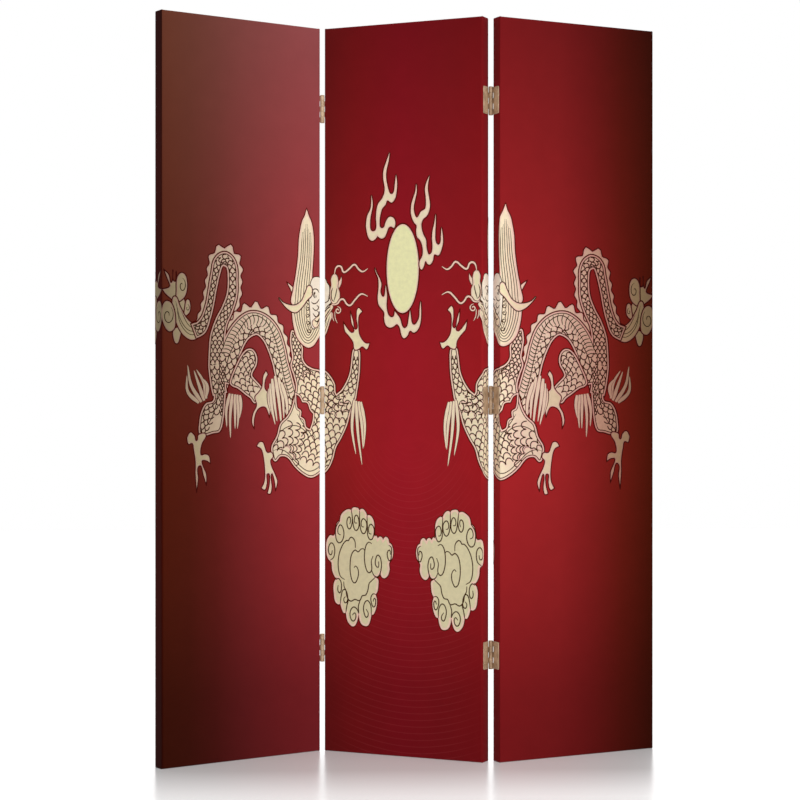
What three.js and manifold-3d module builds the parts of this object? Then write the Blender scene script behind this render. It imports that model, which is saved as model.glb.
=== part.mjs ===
// A three-panel folding screen: printed canvas stretched over timber frames, with three butt
// hinges at each join. Millimetres, +Z up. The printed side faces -Y, and the screen stands in
// the zigzag that it is used in: the left join is a valley and the right join a ridge.
import * as THREE from "three";
import { mergeVertices } from "three/addons/utils/BufferGeometryUtils.js";
import Module from "manifold-3d";

const wasm = await Module();
wasm.setup();

// Panels
const panelWidth = 360;
const panelHeight = 1500;
const panelDepth = 30;
const panelGap = 10; // between two panels' edges when the screen is opened flat
const leftTurn = 33.9; // degrees about +Z from a row of panels opened flat
const middleTurn = -25.7;
const rightTurn = 25.9;
const seat = 0.3; // clearance between two pieces that rest on each other

// Canvas, wrapped round the frame and turned onto its back
const canvasThickness = 0.7;
const canvasReturn = 20;
const canvasEdgeRadius = 1; // from the front or the back onto an edge
const canvasCornerRadius = 1.6; // at the panel's four corners, seen from the front

// Stretcher frame: bars with a raised outer lip, so that only the lip touches the canvas
const barWidth = 34;
const lipWidth = 8;
const bevelDrop = 3;
const crossBarHeight = 34;
const crossBarDepth = 19;
const tenonLength = 12;
const tenonHeight = 22;
const tenonDepth = 9;

// Butt hinges, screwed to the panels' edges
const hingeHeight = 55;
const bottomHingeLevel = 214; // centre above the floor
const middleHingeDrop = 22; // centre below half the panel's height
const topHingeDrop = 167; // centre below the panel's top
const leafWidth = 26; // on the panel's edge
const leafThickness = 1.6;
const knuckleCount = 5;
const knuckleGap = 0.3;
const barrelClearance = 0.5; // between the barrel and a panel's edge
const pinStandOff = 1; // pin's axis beyond the face that folds inwards
const pinClearance = 0.1;
const pinHeadHeight = 1.5;
const screwSpacing = 36;
const screwLength = 16;
const screwShankRadius = 1.5;
const screwHeadRadius = 3;

// Worked out from the sizes above
const skin = canvasThickness + seat; // from a panel's outside to its timber
const frameWidth = panelWidth - 2 * skin;
const frameHeight = panelHeight - 2 * skin;
const frameDepth = panelDepth - 2 * skin;
const pinInset = panelGap / 2; // from a panel's edge out to the pin's axis
const pinOffset = panelDepth / 2 + pinStandOff; // from a panel's middle plane to the pin's axis
const barrelRadius = pinInset - barrelClearance;
const boreRadius = barrelRadius - leafThickness;
const pinRadius = boreRadius - pinClearance;
const knuckleLength = (hingeHeight - (knuckleCount - 1) * knuckleGap) / knuckleCount;
const roundSides = 16;
const screwSides = 10;
const hingeLevels = {
  bottom: bottomHingeLevel,
  middle: panelHeight / 2 - middleHingeDrop,
  top: panelHeight - topHingeDrop,
};

const canvasCloth = () => new THREE.MeshStandardMaterial({ color: 0x8a1820, roughness: 0.8 });
const pine = () => new THREE.MeshStandardMaterial({ color: 0xcfae7b, roughness: 0.7 });
const agedBrass = () =>
  new THREE.MeshStandardMaterial({ color: 0xa08462, roughness: 0.42, metalness: 0.8 });

// A closed geometry as a solid that can be joined and cut.
function solidOf(geometry) {
  const bare = geometry.clone();
  bare.deleteAttribute("normal");
  bare.deleteAttribute("uv");
  const merged = mergeVertices(bare, 1e-4);
  return new wasm.Manifold(
    new wasm.Mesh({
      numProp: 3,
      vertProperties: merged.attributes.position.array,
      triVerts: new Uint32Array(merged.index.array),
    }),
  );
}

function geometryOf(solid) {
  const mesh = solid.getMesh();
  const geometry = new THREE.BufferGeometry();
  geometry.setAttribute("position", new THREE.BufferAttribute(mesh.vertProperties, 3));
  geometry.setIndex(new THREE.BufferAttribute(mesh.triVerts, 1));
  geometry.computeVertexNormals();
  return geometry;
}

// A box between two corners.
function block(low, high) {
  const size = high.map((value, axis) => value - low[axis]);
  const middle = high.map((value, axis) => (value + low[axis]) / 2);
  return solidOf(new THREE.BoxGeometry(...size).translate(...middle));
}

// A solid of revolution about X, its profile given as [radius, x] from axis to axis.
function turned(profile, sides) {
  const points = profile.map(([radius, x]) => new THREE.Vector2(radius, x));
  return new THREE.LatheGeometry(points, sides).rotateZ(-Math.PI / 2);
}

// A round bar along Z. Its flats, not its corners, are at the radius where it is a bore.
function roundBar(radius, low, high, isBore = false) {
  const cornerRadius = isBore ? radius / Math.cos(Math.PI / roundSides) : radius;
  const bar = new THREE.CylinderGeometry(cornerRadius, cornerRadius, high - low, roundSides);
  return solidOf(bar.rotateX(Math.PI / 2).translate(0, 0, (low + high) / 2));
}

function named(name, geometry, material) {
  const mesh = new THREE.Mesh(geometry, material);
  mesh.name = name;
  return mesh;
}

// The screw's outline grown by a clearance, its head's face at x = 0 and its point towards +X.
function screwGeometry(grown = 0) {
  const shank = screwShankRadius + grown;
  const head = screwHeadRadius + grown;
  const headDepth = screwHeadRadius - screwShankRadius;
  const tip = screwLength + grown;
  return turned(
    [
      [0, -grown],
      [head, -grown],
      [head, 0],
      [shank, headDepth],
      [shank, tip - shank],
      [0, tip],
    ],
    screwSides,
  );
}

// Where the two screws of every hinge half stand, above the floor.
function screwLevels() {
  return Object.values(hingeLevels).flatMap((level) => [
    level - screwSpacing / 2,
    level + screwSpacing / 2,
  ]);
}

// One hinge leaf about its pin's axis, its plate at +X and reaching towards +Y.
function leafGeometry(hasEndKnuckles) {
  const plateNear = pinInset - seat - leafThickness;
  const plateFar = pinInset - seat;
  const plateEnd = pinStandOff + leafWidth;
  const half = hingeHeight / 2;
  let leaf = block([plateNear, 0, -half], [plateFar, plateEnd, half]);
  for (let i = 0; i < knuckleCount; i += 1) {
    const low = -half + i * (knuckleLength + knuckleGap);
    const high = low + knuckleLength;
    const isOwn = (i % 2 === 0) === hasEndKnuckles;
    if (isOwn) {
      leaf = leaf.add(roundBar(barrelRadius, low, high));
      continue;
    }
    const notchEnd = barrelRadius + knuckleGap;
    const notch = block(
      [plateNear - 1, -1, low - knuckleGap],
      [plateFar + 1, notchEnd, high + knuckleGap],
    );
    leaf = leaf.subtract(notch);
  }
  leaf = leaf.subtract(roundBar(boreRadius, -half - 1, half + 1, true));
  for (const side of [-1, 1]) {
    const hole = screwGeometry(seat).translate(plateNear, pinOffset, (side * screwSpacing) / 2);
    leaf = leaf.subtract(solidOf(hole));
  }
  return geometryOf(leaf);
}

// A leaf and its two screws about the pin's axis, turned so that the plate reaches the panel's edge.
// side is the edge that it is screwed to and face the face that it folds over, both as -1 or 1.
function hingeHalf(name, side, face, hasEndKnuckles) {
  const half = new THREE.Group();
  half.add(named(`${name}_leaf`, leafGeometry(hasEndKnuckles), agedBrass()));
  const upwards = -side * face; // the turns below also turn a half upside down
  for (const [label, level] of [["lower", -1], ["upper", 1]]) {
    const screw = named(`${name}_${label}_screw`, screwGeometry(), agedBrass());
    const height = (upwards * level * screwSpacing) / 2;
    screw.position.set(pinInset - seat - leafThickness, pinOffset, height);
    half.add(screw);
  }
  half.rotation.set(face > 0 ? Math.PI : 0, side > 0 ? Math.PI : 0, 0);
  return half;
}

function hingePin(name) {
  const half = hingeHeight / 2;
  const head = half + seat;
  const shank = roundBar(pinRadius, -head, head);
  const top = roundBar(barrelRadius, head, head + pinHeadHeight);
  const bottom = roundBar(barrelRadius, -head - pinHeadHeight, -head);
  return named(name, geometryOf(shank.add(top).add(bottom)), agedBrass());
}

// A stretcher bar with mitred ends, along Z, its outer edge at x = 0 and its lip towards -Y.
function barGeometry(length) {
  const mitreGap = seat / Math.SQRT2;
  const front = -frameDepth / 2;
  const back = frameDepth / 2;
  const outline = [
    [0, front],
    [lipWidth, front],
    [barWidth, front + bevelDrop],
    [barWidth, back],
    [0, back],
  ];
  const count = outline.length;
  const positions = [];
  for (const end of [-1, 1]) {
    for (const [inset, depth] of outline) {
      positions.push(inset, depth, end * (length / 2 - inset - mitreGap));
    }
  }
  const contour = outline.map(([inset, depth]) => new THREE.Vector2(inset, depth));
  const indices = [];
  for (const [a, b, c] of THREE.ShapeUtils.triangulateShape(contour, [])) {
    indices.push(c, b, a);
    indices.push(a + count, b + count, c + count);
  }
  for (let i = 0; i < count; i += 1) {
    const next = (i + 1) % count;
    indices.push(i, next, next + count);
    indices.push(i, next + count, i + count);
  }
  const geometry = new THREE.BufferGeometry();
  geometry.setAttribute("position", new THREE.Float32BufferAttribute(positions, 3));
  geometry.setIndex(indices);
  return geometry;
}

// The back half of the frame's depth holds the cross bar, flush with the bars' backs.
const crossBarMiddle = (frameDepth - crossBarDepth) / 2;

// A stile: a bar with the mortise for the cross bar and, where it carries hinges, their pilot holes.
function stileGeometry(pilotLevels) {
  let stile = solidOf(barGeometry(frameHeight));
  const mortise = block(
    [
      barWidth - tenonLength - seat,
      crossBarMiddle - tenonDepth / 2 - seat,
      -tenonHeight / 2 - seat,
    ],
    [
      barWidth + 1,
      crossBarMiddle + tenonDepth / 2 + seat,
      tenonHeight / 2 + seat,
    ],
  );
  stile = stile.subtract(mortise);
  const screwStart = -skin - seat - leafThickness;
  for (const level of pilotLevels) {
    const pilot = screwGeometry(seat).translate(screwStart, 0, level);
    stile = stile.subtract(solidOf(pilot));
  }
  return geometryOf(stile);
}

function crossBarGeometry() {
  const shoulder = frameWidth / 2 - barWidth - seat;
  const tenonEnd = frameWidth / 2 - barWidth + tenonLength;
  const front = crossBarMiddle - crossBarDepth / 2;
  const back = crossBarMiddle + crossBarDepth / 2;
  const bar = block(
    [-shoulder, front, -crossBarHeight / 2],
    [shoulder, back, crossBarHeight / 2],
  );
  const tenons = block(
    [-tenonEnd, crossBarMiddle - tenonDepth / 2, -tenonHeight / 2],
    [tenonEnd, crossBarMiddle + tenonDepth / 2, tenonHeight / 2],
  );
  return geometryOf(bar.add(tenons));
}

// The canvas: a shallow tray over the front and the edges, with its margin turned onto the back.
function canvasGeometry(hingedSides) {
  const outline = new THREE.Shape();
  const x = panelWidth / 2 - canvasCornerRadius;
  const z = panelHeight / 2 - canvasCornerRadius;
  const quarter = Math.PI / 2;
  const arcCentres = [
    [x, z],
    [-x, z],
    [-x, -z],
    [x, -z],
  ];
  arcCentres.forEach(([arcX, arcZ], i) => {
    outline.absarc(arcX, arcZ, canvasCornerRadius, i * quarter, (i + 1) * quarter);
  });
  const slab = new THREE.ExtrudeGeometry(outline, {
    depth: panelDepth - 2 * canvasEdgeRadius,
    bevelThickness: canvasEdgeRadius,
    bevelSize: canvasEdgeRadius,
    bevelOffset: -canvasEdgeRadius,
    bevelSegments: 2,
    curveSegments: 2,
  });
  slab.rotateX(Math.PI / 2).translate(0, panelDepth / 2 - canvasEdgeRadius, 0);
  const insideWidth = panelWidth / 2 - canvasThickness;
  const insideHeight = panelHeight / 2 - canvasThickness;
  const insideDepth = panelDepth / 2 - canvasThickness;
  const inside = block(
    [-insideWidth, -insideDepth, -insideHeight],
    [insideWidth, insideDepth, insideHeight],
  );
  const windowWidth = panelWidth / 2 - canvasReturn;
  const windowHeight = panelHeight / 2 - canvasReturn;
  const openBack = block(
    [-windowWidth, 0, -windowHeight],
    [windowWidth, panelDepth, windowHeight],
  );
  let canvas = solidOf(slab).subtract(inside).subtract(openBack);
  for (const side of hingedSides) {
    for (const level of screwLevels()) {
      const hole = screwGeometry(seat);
      hole.translate(-panelWidth / 2 - seat - leafThickness, 0, level - panelHeight / 2);
      if (side > 0) hole.rotateZ(Math.PI);
      canvas = canvas.subtract(solidOf(hole));
    }
  }
  return geometryOf(canvas);
}

// A panel about its middle plane, standing on z = 0. hingedSides lists its edges that carry hinges.
function panel(name, hingedSides) {
  const group = new THREE.Group();
  const middle = new THREE.Vector3(0, 0, panelHeight / 2);
  const pilots = (side) =>
    hingedSides.includes(side)
      ? screwLevels().map((level) => -side * (level - panelHeight / 2))
      : [];
  const bars = [
    ["left_stile", 0, [-1, 0], stileGeometry(pilots(-1))],
    ["right_stile", Math.PI, [1, 0], stileGeometry(pilots(1))],
    ["bottom_rail", -Math.PI / 2, [0, -1], barGeometry(frameWidth)],
    ["top_rail", Math.PI / 2, [0, 1], barGeometry(frameWidth)],
  ];
  for (const [label, turn, [across, up], geometry] of bars) {
    const bar = named(`${name}_${label}`, geometry, pine());
    bar.rotation.y = turn;
    bar.position.set((across * frameWidth) / 2, 0, (up * frameHeight) / 2).add(middle);
    group.add(bar);
  }
  const crossBar = named(`${name}_cross_bar`, crossBarGeometry(), pine());
  crossBar.position.copy(middle);
  group.add(crossBar);
  const canvas = named(`${name}_canvas`, canvasGeometry(hingedSides), canvasCloth());
  canvas.position.copy(middle);
  group.add(canvas);
  return group;
}

// The pin's axis beside a panel's edge, in the panel's own frame.
function pinPlace(side, face, level = 0) {
  return new THREE.Vector3(side * (panelWidth / 2 + pinInset), face * pinOffset, level);
}

// Turns a panel and moves it so that its own point lands on a point of the screen.
function hang(group, turn, ownPoint, screenPoint) {
  group.rotation.z = THREE.MathUtils.degToRad(turn);
  group.position.copy(screenPoint).sub(ownPoint.clone().applyEuler(group.rotation));
  group.updateMatrix();
}

// Screws one half of each of a join's hinges to a panel.
function addHingeHalves(group, join, label, side, face, hasEndKnuckles) {
  for (const [level, height] of Object.entries(hingeLevels)) {
    const half = hingeHalf(`${join}_${level}_hinge_${label}`, side, face, hasEndKnuckles);
    half.position.copy(pinPlace(side, face, height));
    group.add(half);
  }
}

function addPins(group, join, side, face) {
  for (const [level, height] of Object.entries(hingeLevels)) {
    const pin = hingePin(`${join}_${level}_hinge_pin`);
    pin.position.copy(pinPlace(side, face, height));
    group.add(pin);
  }
}

const frontFace = -1;
const backFace = 1;
const leftEdge = -1;
const rightEdge = 1;

const leftPanel = panel("left", [rightEdge]);
const middlePanel = panel("middle", [leftEdge, rightEdge]);
const rightPanel = panel("right", [leftEdge]);

// The left join folds over the front faces, the right join over the backs.
addHingeHalves(leftPanel, "left_join", "left", rightEdge, frontFace, true);
addHingeHalves(middlePanel, "left_join", "right", leftEdge, frontFace, false);
addPins(middlePanel, "left_join", leftEdge, frontFace);
addHingeHalves(middlePanel, "right_join", "left", rightEdge, backFace, false);
addPins(middlePanel, "right_join", rightEdge, backFace);
addHingeHalves(rightPanel, "right_join", "right", leftEdge, backFace, true);

const centre = new THREE.Vector3();
hang(middlePanel, middleTurn, centre, centre);
const leftPin = pinPlace(leftEdge, frontFace).applyMatrix4(middlePanel.matrix);
const rightPin = pinPlace(rightEdge, backFace).applyMatrix4(middlePanel.matrix);
hang(leftPanel, leftTurn, pinPlace(rightEdge, frontFace), leftPin);
hang(rightPanel, rightTurn, pinPlace(leftEdge, backFace), rightPin);

// The origin is on the floor, at the middle of the ground that the screen covers.
const row = new THREE.Group().add(leftPanel, middlePanel, rightPanel);
row.updateMatrixWorld(true);
const ground = new THREE.Box3().setFromObject(row, true);
const groundCentre = ground.getCenter(new THREE.Vector3());
row.position.set(-groundCentre.x, -groundCentre.y, -ground.min.z);

const screen = new THREE.Group();
screen.name = "folding_screen";
screen.add(row);

export default screen;
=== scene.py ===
import math
import random

import bmesh
import bpy
import numpy as np
from mathutils import Matrix, Vector
from mathutils.geometry import delaunay_2d_cdt


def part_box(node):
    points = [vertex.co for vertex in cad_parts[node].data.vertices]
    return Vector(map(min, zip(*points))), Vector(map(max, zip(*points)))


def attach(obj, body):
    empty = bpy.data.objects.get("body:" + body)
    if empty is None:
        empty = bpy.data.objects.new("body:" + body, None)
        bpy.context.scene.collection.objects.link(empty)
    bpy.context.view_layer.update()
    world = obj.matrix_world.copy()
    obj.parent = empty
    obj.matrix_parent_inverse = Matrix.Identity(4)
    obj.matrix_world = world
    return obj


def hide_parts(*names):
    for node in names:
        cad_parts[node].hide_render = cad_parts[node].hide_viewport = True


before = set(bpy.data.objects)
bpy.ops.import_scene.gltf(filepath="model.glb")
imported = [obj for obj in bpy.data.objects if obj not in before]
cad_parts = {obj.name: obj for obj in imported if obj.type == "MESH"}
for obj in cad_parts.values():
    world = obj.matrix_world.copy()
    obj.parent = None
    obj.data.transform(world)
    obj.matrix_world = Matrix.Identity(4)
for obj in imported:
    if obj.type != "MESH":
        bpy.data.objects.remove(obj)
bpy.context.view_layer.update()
print("frame loaded:", len(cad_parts), "nodes")

# The screen is three panels in a row. Sizes here are millimetres, turned to metres as meshes are made.
millimetre = 0.001
panelPlan = {
    "width": 360,
    "height": 1500,
    "depth": 30,
    "turns": {"left": 33.9, "middle": -25.7, "right": 25.9},  # degrees about Z
}
panels = list(panelPlan["turns"])
panelWidth = panelPlan["width"]
panelDepth = panelPlan["depth"]
height = panelPlan["height"]
halfWidth = panelWidth / 2
halfDepth = panelDepth / 2
printWidth = len(panels) * panelWidth
printMap = "printPlan"
bakeMap = "OFBake"


def panelMatrix(panel):
    low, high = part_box(panel + "_canvas")
    middle = [(a + b) / 2 for a, b in zip(low, high)]
    turn = math.radians(panelPlan["turns"][panel])
    place = Matrix.Translation((middle[0], middle[1], low[2]))
    return place @ Matrix.Rotation(turn, 4, "Z") @ Matrix.Scale(millimetre, 4)


panelMatrices = {panel: panelMatrix(panel) for panel in panels}


def opaque(code):
    # a colour as it shows on screen, "#rrggbb", in the renderer's own scale
    shares = [int(code[i:i + 2], 16) / 255 for i in (1, 3, 5)]
    return (*(c / 12.92 if c <= 0.04045 else ((c + 0.055) / 1.055) ** 2.4 for c in shares), 1.0)


def plain(level):
    return (level, level, level, 1.0)


def grey(share):
    return plain(share ** 2.2)  # a share of the brightness on screen


class Wire:
    # a socket that can be used in arithmetic
    def __init__(self, tree, socket):
        self.tree = tree
        self.socket = socket

    def __add__(self, other):
        return self.tree.maths("ADD", self, other)

    def __sub__(self, other):
        return self.tree.maths("SUBTRACT", self, other)

    def __rsub__(self, other):
        return self.tree.maths("SUBTRACT", other, self)

    def __mul__(self, other):
        return self.tree.maths("MULTIPLY", self, other)

    def __truediv__(self, other):
        return self.tree.maths("DIVIDE", self, other)

    def __rtruediv__(self, other):
        return self.tree.maths("DIVIDE", other, self)

    def __pow__(self, other):
        return self.tree.maths("POWER", self, other)

    def __rpow__(self, other):
        return self.tree.maths("POWER", other, self)

    __radd__ = __add__
    __rmul__ = __mul__


class NodeTree:
    # the nodes behind a finish or the sky
    def __init__(self, tree):
        self.nodes = tree.nodes
        self.links = tree.links

    def node(self, kind, settings=None, inlets=None, outlet=0):
        made = self.nodes.new(kind)
        for label, value in (settings or {}).items():
            if label == "stops":
                self.setStops(made.color_ramp, value)
            else:
                setattr(made, label, value)
        for label, value in (inlets or {}).items():
            self.feed(made.inputs[label], value)
        return Wire(self, made.outputs[outlet])

    def setStops(self, ramp, stops):
        while len(ramp.elements) < len(stops):
            ramp.elements.new(1.0)
        for element, (place, colour) in zip(ramp.elements, stops):
            element.position = place
            element.color = colour

    def feed(self, inlet, value):
        if isinstance(value, Wire):
            self.links.new(value.socket, inlet)
        else:
            inlet.default_value = value

    def maths(self, operation, *values):
        return self.node("ShaderNodeMath", {"operation": operation}, dict(enumerate(values)))

    def ramp(self, amount, stops):
        return self.node("ShaderNodeValToRGB", {"stops": stops}, {0: amount})

    def mix(self, amount, first, second, blend="MIX"):
        settings = {"data_type": "RGBA", "blend_type": blend}
        return self.node("ShaderNodeMix", settings, {0: amount, 6: first, 7: second}, 2)

    def axes(self, vector):
        outputs = self.node("ShaderNodeSeparateXYZ", None, {0: vector}).socket.node.outputs
        return [Wire(self, outputs[i]) for i in range(3)]

    def vector(self, x, y, z):
        return self.node("ShaderNodeCombineXYZ", None, {0: x, 1: y, 2: z})

    def noise(self, vector, scale, detail, roughness=0.5):
        inlets = {"Vector": vector, "Scale": scale, "Detail": detail, "Roughness": roughness}
        return self.node("ShaderNodeTexNoise", None, inlets)

    def seenRay(self):
        # 1 for what the camera sees straight, in gloss or through glass
        path = self.node("ShaderNodeLightPath").socket.node.outputs
        rays = [Wire(self, path[name]) for name in ("Is Camera Ray", "Is Glossy Ray", "Is Transmission Ray")]
        return self.maths("MINIMUM", rays[0] + rays[1] + rays[2], 1.0)


class Finish(NodeTree):
    # a material and the nodes that feed its shader
    def __init__(self, name, constants):
        self.material = bpy.data.materials.new(name)
        self.material.use_nodes = True
        super().__init__(self.material.node_tree)
        self.shader = self.nodes["Principled BSDF"]
        for label, value in constants.items():
            self.put(label, value)

    def put(self, label, value):
        self.feed(self.shader.inputs[label], value)

    def place(self):
        # metres on the screen
        return self.node("ShaderNodeTexCoord", outlet="Object")

    def printPlace(self):
        # s across the three panels and t up, as shares of the print
        across, up, _ = self.axes(self.node("ShaderNodeUVMap", {"uv_map": printMap}))
        return across, up

    def bump(self, rise, distance, strength):
        inlets = {"Height": rise, "Distance": distance, "Strength": strength}
        self.put("Normal", self.node("ShaderNodeBump", None, inlets))

    def shaded(self, colour, amount, low, high):
        # a colour darkened by a grey that runs between two stops
        stops = [(low[0], grey(low[1])), (high[0], grey(high[1]))]
        return self.mix(1.0, colour, self.ramp(amount, stops), "MULTIPLY")


clothPlan = {
    # the red from the print's left end to its right end, with painted shade: darker towards the screen's
    # outer ends, and each panel's brightness stepped at the joins for how light falls on it
    "across": [
        (0, "#3c0600"), (0.003, "#521b0c"), (0.056, "#561c11"), (0.111, "#651f1a"), (0.17, "#7d2627"),
        (0.29, "#9f2e33"), (0.3332, "#a53238"), (0.3334, "#912323"), (0.4, "#a32125"), (0.5, "#ab1e2a"),
        (0.6, "#a62027"), (0.6665, "#a71e24"), (0.6668, "#a62327"), (0.79, "#9a2224"), (0.85, "#871d1d"),
        (0.93, "#65170e"), (0.998, "#441003"), (1, "#2a0802"),
    ],
    # painted shade: its brightness from the foot to the top, darker at the foot and at the top
    "up": [(0.0, 0.69), (0.09, 0.735), (0.24, 0.90), (0.40, 1.0), (0.55, 0.98), (0.75, 0.87), (1.0, 0.70)],
    # painted sheen: the left panel's cloth pales towards its top, a painted reflection of light on it
    "paintedSheenUp": [(0.40, 0.0), (0.63, 0.25), (0.83, 0.66), (1.0, 1.0)],
    "paintedSheenLeft": (0.094, 0.033, 0.019, 1.0),
    "paintedSheenRight": (0.129, 0.059, 0.059, 1.0),
}
ringPlan = {  # faint rings of lighter red round the pearl, which show below it
    "centre": (558, 700),
    "squeeze": 0.78,
    "pitch": 13.5,
    "threshold": 0.88,
    "strength": 0.8,
    "colour": "#c4585c",
    "across": [(0.335, 0.0), (0.42, 1.0), (0.60, 1.0), (0.68, 0.0)],
    "up": [(0.0, 1.0), (0.36, 1.0), (0.46, 0.0)],
}
weavePlan = {"pitch": 0.9, "height": 0.0002}
printInks = {
    "rim": "#ffdac4",
    "pearl": "#fffdc4",
    "flame": "#fff0cb",
    "hide": "#ffeecb",
    "paw": "#fcf0c3",
    "cloud": "#ebe0b6",
    # the face is whiter than the hide: the print's lighter face with a painted highlight of glare on it
    "face": "#fff2de",
    "line": "#45260f",
    "shadow": "#62150f",
}
lineInks = ["line", "shadow"]
paintedShadeAcross = [  # painted shade: the inks darken towards the screen's outer ends
    (0.0, "#867e7a"), (0.07, "#aea5a2"), (0.14, "#cabfc1"), (0.22, "#e4e1e5"), (0.31, "#ffffff"),
    (0.66, "#ffffff"), (0.70, "#eddee6"), (0.78, "#dbcad0"), (0.88, "#b18e8e"), (0.97, "#7e6d63"),
    (1.0, "#73615a"),
]


def coloured(stops):
    return [(place, opaque(code)) for place, code in stops]


def levelled(stops):
    return [(place, plain(level)) for place, level in stops]


def weaveBump(finish, across, up, strength):
    # warp and weft threads
    turns = math.pi / weavePlan["pitch"]
    warp = finish.maths("SINE", across * (printWidth * turns))
    weft = finish.maths("SINE", up * (height * turns))
    finish.bump(warp * warp + weft * weft, weavePlan["height"], strength)


def ringShare(finish, across, up):
    middle = ringPlan["centre"]
    ringX = (across * printWidth - middle[0]) / ringPlan["squeeze"]
    ringZ = up * height - middle[1]
    radius = (ringX * ringX + ringZ * ringZ) ** 0.5
    wave = finish.maths("SINE", radius * (2 * math.pi / ringPlan["pitch"]))
    ring = finish.maths("SMOOTH_MAX", wave - ringPlan["threshold"], 0.0, 0.05)
    middleOnly = finish.ramp(across, levelled(ringPlan["across"]))
    below = finish.ramp(up, levelled(ringPlan["up"]))
    return ring * ringPlan["strength"] * middleOnly * below


def clothFinish():
    finish = Finish("printedCloth", {"Roughness": 0.62, "Specular IOR Level": 0.02})
    across, up = finish.printPlace()
    # the print's red, with painted shade towards the screen's ends and panel by panel
    red = finish.ramp(across, coloured(clothPlan["across"]))
    # painted shade: the cloth darker towards its foot and its top
    rise = finish.ramp(up, [(place, grey(share)) for place, share in clothPlan["up"]])
    red = finish.mix(1.0, red, rise, "MULTIPLY")
    # painted sheen, added on the left panel only and strongest at its top
    leftOnly = finish.maths("LESS_THAN", across, 1 / 3) * finish.maths("GREATER_THAN", across, 0.0)
    paintedSheen = finish.mix(across * 3, clothPlan["paintedSheenLeft"], clothPlan["paintedSheenRight"])
    pale = finish.mix(finish.ramp(up, levelled(clothPlan["paintedSheenUp"])), red, paintedSheen, "ADD")
    red = finish.mix(leftOnly, red, pale)
    red = finish.mix(ringShare(finish, across, up), red, opaque(ringPlan["colour"]))
    patches = finish.noise(finish.vector(across * 3, up * 4, 0.0), 9.0, 4.0)
    finish.put("Base Color", finish.shaded(red, patches, (0.3, 0.975), (0.7, 1.0)))
    weaveBump(finish, across, up, 0.14)
    return finish.material


def inkFinish(name):
    finish = Finish("print" + name.capitalize(), {"Roughness": 0.6, "Specular IOR Level": 0.02})
    across, up = finish.printPlace()
    # painted shade on the inks towards the screen's ends
    paintedShade = finish.ramp(across, coloured(paintedShadeAcross))
    ink = finish.mix(1.0, opaque(printInks[name]), paintedShade, "MULTIPLY")
    patches = finish.noise(finish.vector(across * 9, up * 12, 0.0), 14.0, 5.0, 0.6)
    finish.put("Base Color", finish.shaded(ink, patches, (0.3, 0.95), (0.7, 1.0)))
    weaveBump(finish, across, up, 0.12)
    return finish.material


def bareCanvasFinish():
    finish = Finish("bareCanvas", {"Roughness": 0.85})
    across, up = finish.printPlace()
    patches = finish.noise(finish.place(), 14.0, 5.0, 0.6)
    finish.put("Base Color", finish.ramp(patches, coloured([(0.3, "#e6e0d2"), (0.7, "#ebe6da")])))
    weaveBump(finish, across, up, 0.48)
    return finish.material


def pineFinish(name, along, across):
    # planed pine with its grain along one axis of the screen
    finish = Finish(name, {})
    place = finish.place()
    through = Vector(along).cross(Vector(across))
    dot = {"operation": "DOT_PRODUCT"}
    run, wide, deep = [
        finish.node("ShaderNodeVectorMath", dot, {0: place, 1: tuple(axis)}, 1)
        for axis in (along, across, through)
    ]
    wander = finish.noise(finish.vector(run * 1.2, wide * 6, deep * 6), 2.0, 3.0)
    rings = finish.maths("SINE", (wide + deep * 0.6) * 300 + wander * 14)
    fibre = finish.noise(finish.vector(run * 6, wide * 260, deep * 260), 3.0, 4.0, 0.6)
    wood = finish.ramp(rings * 0.5 + 0.5, coloured([(0.0, "#dcc39b"), (0.72, "#d6bb90"), (0.97, "#c9a877")]))
    wood = finish.shaded(wood, fibre, (0.25, 0.90), (0.75, 1.0))
    spots = {"Vector": finish.vector(run * 3.1, wide * 9, deep * 9), "Scale": 1.0}
    knots = finish.node("ShaderNodeTexVoronoi", None, spots)
    knot = finish.ramp(knots, levelled([(0.0, 1.0), (0.055, 0.85), (0.09, 0.0)]))
    finish.put("Base Color", finish.mix(knot, wood, opaque("#8a5a31")))
    finish.put("Roughness", fibre * 0.22 + 0.5)
    finish.bump(fibre + rings * 0.3, 0.0004, 0.5)
    return finish.material


def brassFinish(name, code, dullCode, roughness):
    finish = Finish(name, {"Metallic": 0.4})
    place = finish.place()
    tarnish = finish.noise(place, 60.0, 6.0, 0.65)
    specks = finish.noise(place, 900.0, 3.0, 0.6)
    finish.put("Base Color", finish.ramp(tarnish, coloured([(0.35, dullCode), (0.62, code)])))
    finish.put("Roughness", tarnish * -0.2 + (roughness + 0.12))
    finish.bump(specks + tarnish, 0.00015, 0.4)
    return finish.material


def steelFinish():
    finish = Finish("stapleSteel", {"Metallic": 0.9})
    scratches = finish.noise(finish.place(), 700.0, 4.0, 0.6)
    finish.put("Base Color", finish.ramp(scratches, coloured([(0.3, "#9c9c9a"), (0.7, "#c4c4c2")])))
    finish.put("Roughness", scratches * 0.25 + 0.25)
    return finish.material


cloth = clothFinish()
bareCanvas = bareCanvasFinish()
inks = {name: inkFinish(name) for name in printInks}
hingeBrass = brassFinish("hingeBrass", "#d2b596", "#ab8f72", 0.5)
screwBrass = brassFinish("screwBrass", "#d0b090", "#a48869", 0.42)
stapleSteel = steelFinish()
print("finishes made:", len(bpy.data.materials))


def addPiece(name, mesh, panel, materials, smoothAngle):
    # a mesh in one panel's millimetres becomes a piece that rides on it
    mesh.transform(panelMatrices[panel])
    mesh.name = name
    piece = bpy.data.objects.new(name, mesh)
    bpy.context.scene.collection.objects.link(piece)
    for material in materials:
        mesh.materials.append(material)
    for polygon in mesh.polygons:
        polygon.use_smooth = True
    mesh.set_sharp_from_angle(angle=math.radians(smoothAngle))
    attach(piece, panel + "_panel")
    return piece


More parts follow.
